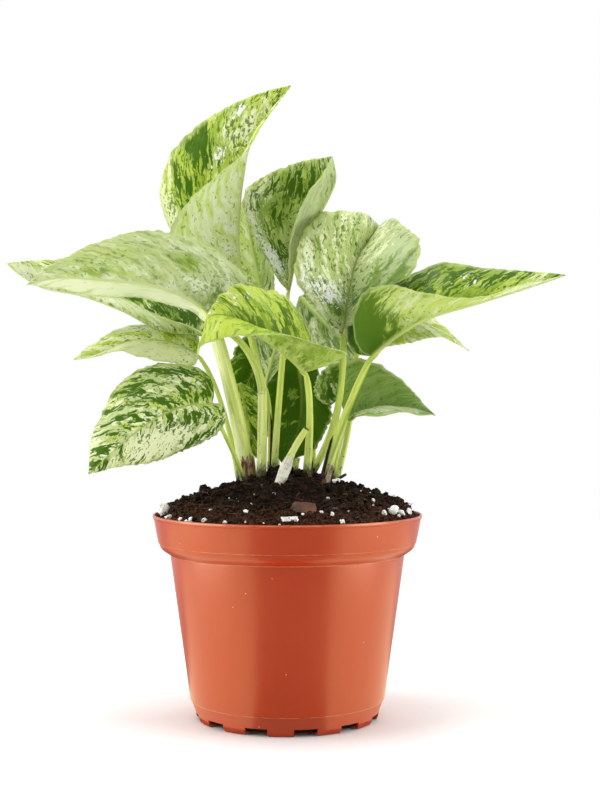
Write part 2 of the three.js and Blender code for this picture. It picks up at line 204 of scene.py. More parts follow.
studio = {
    # where along an axis of the sky the light changes, and its strength at both ends
    "backdrop": ("Y", -0.55, 0.35, 0.45, 1.0),
    "overhead": ("Z", 0.35, 0.9, 0.0, 0.5),
    "belowFloor": ("Z", -0.3, -0.08, 0.12, 1.0),
    # place, then what it points at or, for a board that lies on the floor, how many degrees it is
    # turned, and then width, height, watts, and whether only gloss shows it
    "lamps": {
        "leftBox": ((-1.1, -0.25, 0.3), (0, 0, 0.15), 0.95, 1.0, 9.8, False),
        "rightBox": ((1.08, -0.34, 0.3), (0, 0, 0.15), 0.8, 1.0, 7.8, False),
        "topBox": ((-0.15, -0.05, 1.2), (0, 0, 0.25), 0.5, 0.35, 4.5, False),
        "leftScreen": ((-1.04, -0.36, 0.35), (0, 0, 0.15), 1.1, 1.0, 3.1, True),
        "rightScreen": ((1.02, -0.44, 0.35), (0, 0, 0.15), 0.85, 1.0, 2.3, True),
        "leftBoard": ((-0.459, -0.311, 0.003), 60, 1.0, 0.5, 2.2, True),
        "rightBoard": ((0.506, -0.212, 0.003), -48, 1.0, 0.5, 2.1, True),
    },
    "glossTone": "#fff0c6",    # the colour of all that only gloss shows
    "floor": "#f0f0ee", "floorShade": "#e8e8e6", "floorRadius": 1.5,
}
world = bpy.data.worlds.new("studio")
world.use_nodes = True
tree = world.node_tree
heading = addNode(tree, "SeparateXYZ", {0: addNode(tree, "TexCoord").outputs["Generated"]})
glow = {}
for part in ("backdrop", "overhead", "belowFloor"):
    axis, start, end, first, last = studio[part]
    glow[part] = addNode(tree, "MapRange", {
        "Value": heading.outputs[axis], "From Min": start, "From Max": end, "To Min": first, "To Max": last},
        interpolation_type="SMOOTHSTEP")
sky = addNode(tree, "Math", {0: glow["backdrop"], 1: glow["belowFloor"], 2: glow["overhead"]},
              operation="MULTIPLY_ADD")
backdrop = tree.nodes["Background"]
tree.links.new(sky.outputs[0], backdrop.inputs["Strength"])
backdrop.inputs["Color"].default_value = toLinear("#ffffff")
bpy.context.scene.world = world
for name, (place, aim, width, height, watts, glossOnly) in studio["lamps"].items():
    lamp = bpy.data.lights.new(name, "AREA")
    lamp.shape = "RECTANGLE"
    lamp.size = width
    lamp.size_y = height
    lamp.energy = watts
    holder = bpy.data.objects.new(name, lamp)
    holder.location = place
    if isinstance(aim, tuple):
        holder.rotation_euler = (Vector(aim) - Vector(place)).to_track_quat("-Z", "Y").to_euler()
    else:
        holder.rotation_euler = (math.pi, 0, math.radians(aim))
    if glossOnly:
        lamp.color = toLinear(studio["glossTone"])[:3]
    holder.visible_camera = False
    holder.visible_diffuse = not glossOnly
    holder.visible_transmission = not glossOnly
    bpy.context.scene.collection.objects.link(holder)

# Matt paper: off white with faint cloudy patches and no gloss.
floorPaper, tree = newMaterial("mattPaper")
place = addNode(tree, "TexCoord").outputs["Object"]
mottle = addNode(tree, "TexNoise", {"Vector": place, "Scale": 3.0})
shade = addNode(tree, "MapRange", {"Value": mottle, "To Min": 0.97})
tint = addNode(tree, "Mix", {
    "Factor": shade, "A": studio["floorShade"], "B": studio["floor"]}, data_type="RGBA")
paper = addNode(tree, "BsdfPrincipled", {"Base Color": tint, "Roughness": 0.9})
addNode(tree, "OutputMaterial", {"Surface": paper})
deselectAll()
bpy.ops.mesh.primitive_circle_add(vertices=128, radius=studio["floorRadius"], fill_type="NGON")
floor = nameNew("floor", [floorPaper])
floor.visible_glossy = False    # the boards are what the pot mirrors
print("stage: camera, lamps and floor")


potShape = {
    "sides": 144,
    # outside from the base to the rim, then inside down to the floor: radius and height in mm
    "outline": [
        (49.6, 0), (50.7, 0.35), (51.3, 1.3), (51.7, 3), (52.2, 5), (54.1, 10.4), (54.5, 10.8),
        (54.9, 11.2), (56.9, 26), (59, 41), (61.1, 56), (63.2, 71), (65.85, 90.3), (65.95, 91.9),
        (66.2, 92.2), (68.2, 93.4), (70.4, 95), (71.5, 96.2), (72.05, 97.4), (72.2, 98.5),
        (72.7, 98.75), (72.8, 99.2), (73.7, 103.5), (75.35, 112.3), (75.8, 112.6), (76, 113),
        (76, 113.9), (75.75, 114.4), (75.3, 114.5), (74.85, 114.3), (74.7, 113.8), (74.4, 111.5),
        (71.3, 98.5), (70.9, 96.3), (65.5, 92), (64.6, 89.5), (53.4, 12), (50.2, 2.6), (49, 1.5)],
    "slots": 12, "slotTurn": 11.5, "slotWidth": 12.8, "slotHeight": 4.2, "slotInner": 43, "slotDepth": 20,
    "sharpFrom": 28,    # edges under this many degrees are smooth
}

deselectAll()
outline = potShape["outline"]
bpy.ops.mesh.primitive_circle_add(vertices=potShape["sides"], radius=outline[0][0] * mm, fill_type="NGON")
bpy.ops.object.mode_set(mode="EDIT")
bpy.ops.mesh.select_all(action="SELECT")
for (fromRadius, fromHeight), (radius, height) in zip(outline, outline[1:]):
    bpy.ops.mesh.extrude_region_move(TRANSFORM_OT_translate={"value": (0, 0, (height - fromHeight) * mm)})
    bpy.ops.transform.resize(value=(radius / fromRadius, radius / fromRadius, 1),
                             center_override=(0, 0, height * mm))
bpy.ops.object.mode_set(mode="OBJECT")
pot = nameNew("pot_moulded", [])
facesOutward(pot)

cutters = []
for index in range(potShape["slots"]):
    deselectAll()
    bpy.ops.mesh.primitive_cube_add(size=1)
    cutter = bpy.context.active_object
    turn = math.radians(potShape["slotTurn"] - 90 + 360 / potShape["slots"] * index)
    reach = (potShape["slotInner"] + potShape["slotDepth"] / 2) * mm
    cutter.scale = (potShape["slotDepth"] * mm, potShape["slotWidth"] * mm, potShape["slotHeight"] * 2 * mm)
    cutter.location = (reach * math.cos(turn), reach * math.sin(turn), 0)
    cutter.rotation_euler = (0, 0, turn)
    cutters.append(cutter)
slotCutter = joinAll(cutters)
bpy.ops.object.transform_apply(location=True, rotation=True, scale=True)
applyModifier(pot, "BOOLEAN", operation="DIFFERENCE", object=slotCutter, solver="EXACT")
bpy.data.objects.remove(slotCutter)
makeActive(pot)
bpy.ops.object.shade_smooth_by_angle(angle=math.radians(potShape["sharpFrom"]))

# Polypropylene, injection moulded and coloured through: a satin orange skin with flow marks, fine
# upright rubs from stacking, pale lines along its corners that are painted highlight on the edges and
# partly scuffs, and specks of dust. Its foot is duller.
potLook = {
    # colours, then the sizes of the marks in mm and how strong or rare they are
    "body": "#a92a06", "warm": "#b1370b", "pale": "#d8906c", "dust": "#d6c2ae", "sheen": "#fff0d0",
    "flowMm": 38, "rubMm": 0.7, "rubStretch": 0.06, "rubMost": 0.07, "speckMm": 7, "speckRarity": 0.82,
    # the corner lines are painted highlight along the edges, partly scuffs
    "cornersMm": (98.75, 92.1, 10.9, 113.9), "cornerMm": 0.22, "breakMm": 4, "cornerMost": 0.5,
    "satin": (0.27, 0.33), "footMm": (10.6, 11.2), "footDuller": 0.22, "grainMm": 0.5,
}
pottery, tree = newMaterial("polypropyleneMoulded")
place = addNode(tree, "TexCoord").outputs["Object"]
flow = addNode(tree, "TexNoise", {
    "Vector": place, "Scale": 1 / (potLook["flowMm"] * mm), "Detail": 4.0, "Roughness": 0.55})
ground = addNode(tree, "Mix", {"Factor": flow, "A": potLook["body"], "B": potLook["warm"]}, data_type="RGBA")
tall = addNode(tree, "Mapping", {"Vector": place, "Scale": (1, 1, potLook["rubStretch"])})
rub = addNode(tree, "TexNoise", {
    "Vector": tall, "Scale": 1 / (potLook["rubMm"] * mm), "Detail": 3.0, "Roughness": 0.6})
worn = paintWhere(tree, rub, (0.63, 0.72), ground, potLook["pale"], potLook["rubMost"])
specks = addNode(tree, "TexVoronoi", {
    "Vector": place, "Scale": 1 / (potLook["speckMm"] * mm), "Randomness": 1.0})
speckDots = addNode(tree, "MapRange", {
    "Value": specks.outputs["Distance"], "From Min": 0.03, "From Max": 0.055, "To Min": 1.0, "To Max": 0.0})
speckPick = addNode(tree, "SeparateColor", {"Color": specks.outputs["Color"]})
speckRare = addNode(tree, "Math", {0: speckPick, 1: potLook["speckRarity"]}, operation="GREATER_THAN")
speckShow = addNode(tree, "Math", {0: speckDots, 1: speckRare}, operation="MULTIPLY")
worn = addNode(tree, "Mix", {"Factor": speckShow, "A": worn, "B": potLook["dust"]}, data_type="RGBA")
height = addNode(tree, "SeparateXYZ", {0: place}).outputs["Z"]
breaks = addNode(tree, "TexNoise", {"Vector": place, "Scale": 1 / (potLook["breakMm"] * mm), "Detail": 4.0})
broken = addNode(tree, "MapRange", {
    "Value": breaks, "From Min": 0.3, "From Max": 0.6, "To Max": potLook["cornerMost"]})
for corner in potLook["cornersMm"]:
    # pale lines along the corners of the mould: painted highlight on the edges, partly scuffs where stacked
    # pots rub each other
    line = addNode(tree, "Math", {
        0: height, 1: corner * mm, 2: potLook["cornerMm"] * mm}, operation="COMPARE")
    rubAndHighlight = addNode(tree, "Math", {0: line, 1: broken}, operation="MULTIPLY")
    worn = addNode(tree, "Mix", {"Factor": rubAndHighlight, "A": worn, "B": potLook["pale"]}, data_type="RGBA")
sheenMottle = addNode(tree, "MapRange", {
    "Value": flow, "To Min": potLook["satin"][0], "To Max": potLook["satin"][1]})
scuffed = addNode(tree, "MapRange", {
    "Value": height, "From Min": potLook["footMm"][0] * mm, "From Max": potLook["footMm"][1] * mm,
    "To Min": potLook["footDuller"], "To Max": 0.0})
satin = addNode(tree, "Math", {0: sheenMottle, 1: scuffed}, operation="ADD")
grain = addNode(tree, "TexNoise", {"Vector": place, "Scale": 1 / (potLook["grainMm"] * mm), "Detail": 2.0})
grainBump = addNode(tree, "Bump", {"Height": grain, "Strength": 0.04, "Distance": 0.1 * mm})
plastic = addNode(tree, "BsdfPrincipled", {
    "Base Color": worn, "Roughness": satin, "IOR": 1.49, "Specular IOR Level": 1.0,
    "Specular Tint": potLook["sheen"], "Normal": grainBump})
addNode(tree, "OutputMaterial", {"Surface": plastic})
pot.data.materials.append(pottery)
keepAs(pot, "pot", "pot")
print("pot made:", len(pot.data.polygons), "faces")


soilShape = {
    # the mound in mm: its top, its fall for each mm outwards, and how it meets the pot's wall
    "peak": 140.5, "slope": 0.32, "edge": 112.6, "relief": 1.1, "innerRadius": 73.7, "rollMm": 9,
    "around": 200, "rings": 74, "rimDrop": [(73.6, 111.4), (70.6, 98), (64, 90.5), (53, 13), (49, 2), (0, 2)],
    "lumpMm": 7, "lumpLift": 1.8, "crumbleMm": 2.1, "crumbleLift": 0.8,
    # how many of each lie on it, their half widths or lengths in mm, and the ring that they lie in
    "crumbs": 2800, "crumbMm": (0.35, 1.4), "crumbRing": (0, 72),
    "clods": 210, "clodMm": (1.4, 3.3), "clodRing": (0, 66),
    "grains": 68, "grainMm": (0.22, 0.7), "largerGrainMm": (0.6, 1.2),
    "grainRing": (30, 72), "innerGrainRing": (5, 72),
    "chips": 44, "chipMm": (0.7, 1.7), "chipRing": (8, 68),
    "fibres": 260, "fibreMm": (3, 13), "fibreRing": (4, 70), "fibreBends": (0.35, -0.6, 0.9),
    # how uneven the models of each are
    "crumbUneven": 0.55, "grainUneven": (0.32, 0.44, 0.56, 0.68), "pearlUneven": 0.07,
}


def moundHeight(x, y):
    radius = math.hypot(x, y)
    cone = soilShape["peak"] - soilShape["slope"] * math.sqrt(radius * radius + 60)
    bumps = (math.sin(x * 0.31 + 1.3 * math.sin(y * 0.17)) * math.cos(y * 0.27 + x * 0.09)
             + 0.6 * math.sin(x * 0.13 - y * 0.19 + 2))
    fromWall = radius - soilShape["innerRadius"] + soilShape["rollMm"]
    roll = min(max(0, fromWall / soilShape["rollMm"]) ** 2.5, 1)
    return (cone + soilShape["relief"] * bumps) * (1 - roll) + soilShape["edge"] * roll


def crumbled(x, y):
    # the mound with its lumps and pits
    rough = noise.fractal(Vector((x, y, 3)) / soilShape["lumpMm"], 0.7, 2.1, 5)
    fine = noise.fractal(Vector((x, y, 9)) / soilShape["crumbleMm"], 0.6, 2.2, 3)
    calm = min(1, max(0, (soilShape["innerRadius"] - math.hypot(x, y)) / 6))
    relief = soilShape["lumpLift"] * rough + soilShape["crumbleLift"] * fine
    return moundHeight(x, y) + relief * (0.3 + 0.7 * calm)


# Peat with bark fines: near black when damp, matt, with rusty fibres and grey dust in the hollows.
peatLook = {
    "wet": "#0f0905", "body": "#261a10", "rust": "#512f1c", "dry": "#6a5442",
    "lumpMm": 5, "crumbMm": 1.1, "dustMm": 0.6, "rustMost": 0.8, "dustMost": 0.6,
    "rimMm": (48, 70), "rimRustier": 0.11,
}
peat, tree = newMaterial("peatDamp")
place = addNode(tree, "TexCoord").outputs["Object"]
lumps = addNode(tree, "TexNoise", {
    "Vector": place, "Scale": 1 / (peatLook["lumpMm"] * mm), "Detail": 6.0, "Roughness": 0.7})
crumbTone = addNode(tree, "TexNoise", {
    "Vector": place, "Scale": 1 / (peatLook["crumbMm"] * mm), "Detail": 3.0})
dust = addNode(tree, "TexNoise", {"Vector": place, "Scale": 1 / (peatLook["dustMm"] * mm), "Detail": 1.0})
level = addNode(tree, "VectorMath", {0: place, 1: (1, 1, 0)}, operation="MULTIPLY")
fromMiddle = addNode(tree, "VectorMath", {0: level}, operation="LENGTH").outputs["Value"]
nearRim = addNode(tree, "MapRange", {
    "Value": fromMiddle, "From Min": peatLook["rimMm"][0] * mm, "From Max": peatLook["rimMm"][1] * mm,
    "To Max": peatLook["rimRustier"]}, interpolation_type="SMOOTHSTEP")
rustSum = addNode(tree, "Math", {0: crumbTone, 1: nearRim}, operation="ADD")
peatColour = paintWhere(tree, lumps, (0.35, 0.68), peatLook["wet"], peatLook["body"])
peatColour = paintWhere(tree, rustSum, (0.6, 0.68), peatColour, peatLook["rust"], peatLook["rustMost"])
peatColour = paintWhere(tree, dust, (0.66, 0.74), peatColour, peatLook["dry"], peatLook["dustMost"])
peatBump = addNode(tree, "Bump", {"Height": crumbTone, "Strength": 0.8, "Distance": 0.7 * mm})
peatSkin = addNode(tree, "BsdfPrincipled", {
    "Base Color": peatColour, "Roughness": 0.92, "Specular IOR Level": 0.1, "Normal": peatBump})
addNode(tree, "OutputMaterial", {"Surface": peatSkin})

around, rings, drop = soilShape["around"], soilShape["rings"], soilShape["rimDrop"]
soil = gridPiece("soil_mound", around, rings + len(drop), [peat])
points = []
for ring in range(rings + len(drop) + 1):
    for side in range(around + 1):
        turn = 2 * math.pi * side / around
        if ring <= rings:
            radius = soilShape["innerRadius"] * (ring / rings) ** 0.8
            x, y = radius * math.cos(turn), radius * math.sin(turn)
            points.append((x, y, crumbled(x, y)))
        else:
            radius, height = drop[ring - rings - 1]
            points.append((radius * math.cos(turn), radius * math.sin(turn), height))
layPoints(soil, points)
closeSeams(soil)
facesOutward(soil)
bpy.ops.object.shade_smooth()
keepAs(soil, "soil", "soil")


def roughLump(name, detail, uneven, material):
    # a broken lump about 2 mm across, to be copied at many sizes
    deselectAll()
    bpy.ops.mesh.primitive_ico_sphere_add(subdivisions=detail, radius=1 * mm)
    lump = nameNew(name, [material])
    for corner in lump.data.vertices:
        push = 1 + uneven * noise.noise(corner.co / mm * 1.3 + Vector((len(name), 5, 0)))
        corner.co = corner.co * push * random.uniform(1 - uneven * 0.35, 1 + uneven * 0.35)
    return lump


def scatter(name, models, places):
    # each place is x, y, z in mm, size, stretch along each axis and turn; the copies become one piece
    copies = []
    for place, size, stretch, turns in places:
        model = random.choice(models)
        copy = model.copy()
        copy.data = model.data.copy()
        copy.data.transform(Matrix.LocRotScale(Vector(place) * mm, turns, Vector(stretch) * size))
        bpy.context.scene.collection.objects.link(copy)
        copies.append(copy)
    group = joinAll(copies)
    group.name = name
    group.data.name = name
    for model in models:
        bpy.data.objects.remove(model)
    keepAs(group, "soil")


def anyTurn():
    return Vector((random.gauss(0, 1), random.gauss(0, 1), random.gauss(0, 1))).to_track_quat("X", "Z")


def lying(turn, tilt=0.0):
    # tilted and then turned about the upright, both in radians
    return (Matrix.Rotation(turn, 3, "Z") @ Matrix.Rotation(tilt, 3, "Y")).to_quaternion()


def somewhere(inner, outer):
    # x and y of a random spot between two radii
    radius = math.sqrt(random.uniform(inner ** 2, outer ** 2))
    turn = random.uniform(0, 2 * math.pi)
    return radius * math.cos(turn), radius * math.sin(turn)


# the clods that stand out against the light: x, y, z and half width in mm
standingClods = [
    (-34.8, 0, 128.6, 3.1), (-30.5, 2, 130, 2.2), (-46, -2, 125.6, 2.3), (-54, 0, 122.4, 2.8),
    (-58, 3, 120.8, 2), (-9, -2, 139, 2.4), (46, 1, 127.2, 2.2), (53.5, 2, 123.6, 2), (31, 4, 131.4, 1.9)]
crumbPlaces = [((x, y, z), size, (1.1, 0.9, 0.8), anyTurn()) for x, y, z, size in standingClods]
for index in range(soilShape["crumbs"] + soilShape["clods"]):
    sort = "crumb" if index < soilShape["crumbs"] else "clod"
    x, y = somewhere(*soilShape[sort + "Ring"])
    size = random.uniform(*soilShape[sort + "Mm"])
    height = crumbled(x, y) + size * random.uniform(-0.1, 0.5)
    stretch = (random.uniform(0.8, 1.3), random.uniform(0.7, 1.1), random.uniform(0.6, 1))
    crumbPlaces.append(((x, y, height), size, stretch, anyTurn()))
crumbs = [roughLump(f"crumb{k}", detail, soilShape["crumbUneven"], peat)
          for k, detail in enumerate((1, 1, 1, 2))]
scatter("soil_crumbs", crumbs, crumbPlaces)

# Expanded mineral grains: white foamed glass, matt and full of pits, darker grey in the pits as painted
# shade, greyed by peat dust on the underside.
grainLook = {"white": "#f4f2ec", "pitShade": "#a79d8e", "peat": "#4b3a2b",
             "pitMm": 0.9, "smearMm": 1.6, "smearMost": 0.8}
mineral, tree = newMaterial("mineralGrainFoamed")
place = addNode(tree, "TexCoord").outputs["Object"]
pits = addNode(tree, "TexVoronoi", {"Vector": place, "Scale": 1 / (grainLook["pitMm"] * mm)})
pitDepth = addNode(tree, "MapRange", {"Value": pits.outputs["Distance"], "From Min": 0.05, "From Max": 0.35})
smear = addNode(tree, "TexNoise", {"Vector": place, "Scale": 1 / (grainLook["smearMm"] * mm), "Detail": 4.0})
# grey where the pits sink: painted shade in the recesses
pitShaded = addNode(tree, "Mix", {
    "Factor": pitDepth, "A": grainLook["pitShade"], "B": grainLook["white"]}, data_type="RGBA")
smeared = paintWhere(tree, smear, (0.54, 0.66), pitShaded, grainLook["peat"], grainLook["smearMost"])
pitBump = addNode(tree, "Bump", {"Height": pitDepth, "Strength": 0.5, "Distance": 0.3 * mm})
foam = addNode(tree, "BsdfPrincipled", {"Base Color": smeared, "Roughness": 0.8, "Normal": pitBump})
addNode(tree, "OutputMaterial", {"Surface": foam})

# x, y and half width in mm of the large grains, most of them along the front edge
largeGrains = [
    (-64, -33, 2.1), (-57, -44, 1.6), (-53, -49, 1.5), (-50.5, -51.5, 1.7), (-43, -57.5, 1.6),
    (-32, -64, 1.4), (-21, -62, 1.7), (18, -60, 1.3), (24, -62, 1.2), (29, -66, 1.6), (22, -38, 1.3),
    (52, -44, 1.7), (60.5, -35, 1.3), (62, -31, 2.3), (66.5, -23, 2.2), (47, -31, 1.2), (34, 10, 1.5),
    (-40, 40, 1.8), (20, 58, 2)]
grainPlaces = []
for x, y, size in largeGrains:
    stretch = (random.uniform(0.8, 1.2), random.uniform(0.8, 1.1), random.uniform(0.7, 1))
    grainPlaces.append(((x, y, crumbled(x, y) + 0.3 * size), size * 0.9, stretch, anyTurn()))
grainPlaces.append(((27.3, -12, 133.4), 2.0, (1.3, 0.8, 0.8), anyTurn()))
for index in range(soilShape["grains"]):
    x, y = somewhere(*soilShape["grainRing" if index % 3 else "innerGrainRing"])
    size = random.uniform(*soilShape["grainMm" if index % 4 else "largerGrainMm"])
    grainPlaces.append(((x, y, crumbled(x, y) + 0.5 * size), size, (1, 0.9, 0.8), anyTurn()))
grains = [roughLump(f"grain{k}", 2, uneven, mineral) for k, uneven in enumerate(soilShape["grainUneven"])]
scatter("mineral_grains", grains, grainPlaces)
# two large grains that are rounder and smoother than the rest
pearlPlaces = [((-68, -20.5, 118.2), 3.6, (1, 0.95, 0.95), anyTurn()),
               ((57.5, -38.5, 119.4), 2.6, (1.2, 1, 0.9), anyTurn())]
scatter("mineral_pearls", [roughLump("pearl", 3, soilShape["pearlUneven"], mineral)], pearlPlaces)

# Composted bark: rust brown flakes and fibres, dry and dull, with grain along their length.
barkLook = {"rust": "#5e3219", "dark": "#24150d", "pale": "#76502f",
            "grainMm": 1.3, "toneMm": 16, "paleMost": 0.45}
bark, tree = newMaterial("barkComposted")
place = addNode(tree, "TexCoord").outputs["Object"]
barkGrain = addNode(tree, "TexNoise", {
    "Vector": place, "Scale": 1 / (barkLook["grainMm"] * mm), "Detail": 4.0})
barkTone = addNode(tree, "TexNoise", {
    "Vector": place, "Scale": 1 / (barkLook["toneMm"] * mm), "Detail": 1.0})
barkColour = paintWhere(tree, barkTone, (0.38, 0.62), barkLook["dark"], barkLook["rust"])
barkColour = paintWhere(tree, barkGrain, (0.5, 0.7), barkColour, barkLook["pale"], barkLook["paleMost"])
barkBump = addNode(tree, "Bump", {"Height": barkGrain, "Strength": 0.6, "Distance": 0.3 * mm})
barkSkin = addNode(tree, "BsdfPrincipled", {"Base Color": barkColour, "Roughness": 0.8, "Normal": barkBump})
addNode(tree, "OutputMaterial", {"Surface": barkSkin})


def thinFlake(name, material):
    # an uneven block 2 mm across with narrower ends, to be copied flat
    deselectAll()
    bpy.ops.mesh.primitive_cube_add(size=2 * mm)
    flake = nameNew(name, [material])
    bpy.ops.object.mode_set(mode="EDIT")
    bpy.ops.mesh.subdivide(number_cuts=2)
    bpy.ops.object.mode_set(mode="OBJECT")
    for corner in flake.data.vertices:
        corner.co = corner.co * (1 + 0.3 * noise.noise(corner.co / mm * 0.9 + Vector((len(name) * 2, 0, 1))))
        corner.co.x *= 1 - 0.22 * abs(corner.co.y / mm)
    return flake


# two chips that stand out: one large flake on the front slope, and one thin piece that points up
bigFlakeLie = (Matrix.Rotation(0.12, 3, "Y") @ Matrix.Rotation(0.55, 3, "X")).to_quaternion()
chipPlaces = [((9, -62, crumbled(9, -62) + 0.5), 3.5, (1.9, 1.3, 0.3), bigFlakeLie),
              ((29.5, -8, 135), 1.0, (4.2, 0.9, 0.7), Vector((0.86, 0.1, 0.5)).to_track_quat("X", "Z"))]
for index in range(soilShape["chips"]):
    x, y = somewhere(*soilShape["chipRing"])
    lie = lying(random.uniform(0, 6.28), random.gauss(0, 0.4))
    size = random.uniform(*soilShape["chipMm"])
    chipPlaces.append(((x, y, crumbled(x, y) + 0.5 * size), size, (random.uniform(1.2, 2.2), 0.9, 0.3), lie))
scatter("bark_chips", [thinFlake(f"flake{k}", bark) for k in range(3)], chipPlaces)
whiteChip = ((1.7, -69.6, 117.3), 1.9, (2.4, 0.9, 0.6), lying(0.1))
scatter("mineral_chip", [thinFlake("chip", mineral)], [whiteChip])


def fibreModel(name, bend):
    # a root fibre 2 mm long: four sided, thin, curved
    deselectAll()
    bpy.ops.mesh.primitive_cylinder_add(vertices=4, radius=1 * mm, depth=2 * mm, end_fill_type="NGON",
                                        rotation=(0, math.radians(90), 0))
    fibre = nameNew(name, [bark])
    bpy.ops.object.transform_apply(rotation=True)
    bpy.ops.object.mode_set(mode="EDIT")
    for share in (0, -0.5, 0.5):
        bpy.ops.mesh.select_all(action="SELECT")
        bpy.ops.mesh.bisect(plane_co=(share * mm, 0, 0), plane_no=(1, 0, 0))
    bpy.ops.object.mode_set(mode="OBJECT")
    for corner in fibre.data.vertices:
        along = corner.co.x / mm
        corner.co.y += bend * 9 * mm * (1 - along * along)
        corner.co.z += bend * 3 * mm * math.sin(along * 2.4)
    return fibre


fibrePlaces = [((-36, -52, crumbled(-36, -52) + 0.9), 1.0, (8.5, 0.28, 0.24), lying(0.12))]
for index in range(soilShape["fibres"]):
    x, y = somewhere(*soilShape["fibreRing"])
    length = random.uniform(*soilShape["fibreMm"]) / 2
    lie = lying(random.uniform(0, 6.28), random.gauss(0, 0.22))
    place = (x, y, crumbled(x, y) + random.uniform(0.3, 1.3))
    fibrePlaces.append((place, 1.0, (length, random.uniform(0.07, 0.17), random.uniform(0.07, 0.15)), lie))
strands = [fibreModel(f"fibre{k}", bend) for k, bend in enumerate(soilShape["fibreBends"])]
scatter("root_fibres", strands, fibrePlaces)
print("soil, crumbs, grains, chips and fibres made")


leafMesh = {
    # the grid is finer near the midrib and near the base, by these powers
    "halfColumns": 15, "rows": 90, "columnCrowding": 1.5, "veinCrowding": 1.45,
    # how arched the blade is across, and how far the arch sweeps back
    "arch": 0.1, "sweep": 0.08,
    # the puffed skin between the side veins, the small puckers, and the waved margin, in mm
    "sideVeins": 8, "quiltMm": 0.34, "puckerMm": 0.5, "waveMm": 0.9, "waves": 2.7,
    # the ragged margin in mm, and the strength and spacing of each noise in it, on a lane of its own
    "ruffleMm": 1.5, "ruffles": ((1, 9, 3), (1, 26, 5), (0.7, 57, 7)),
    # its thickness along the midrib, the share of that elsewhere, how much the rim takes off, and the
    # groove over the midrib
    "thicknessMm": 1.5, "thinShare": 0.3, "thinRim": 0.45, "ribDepthMm": 0.3,
}

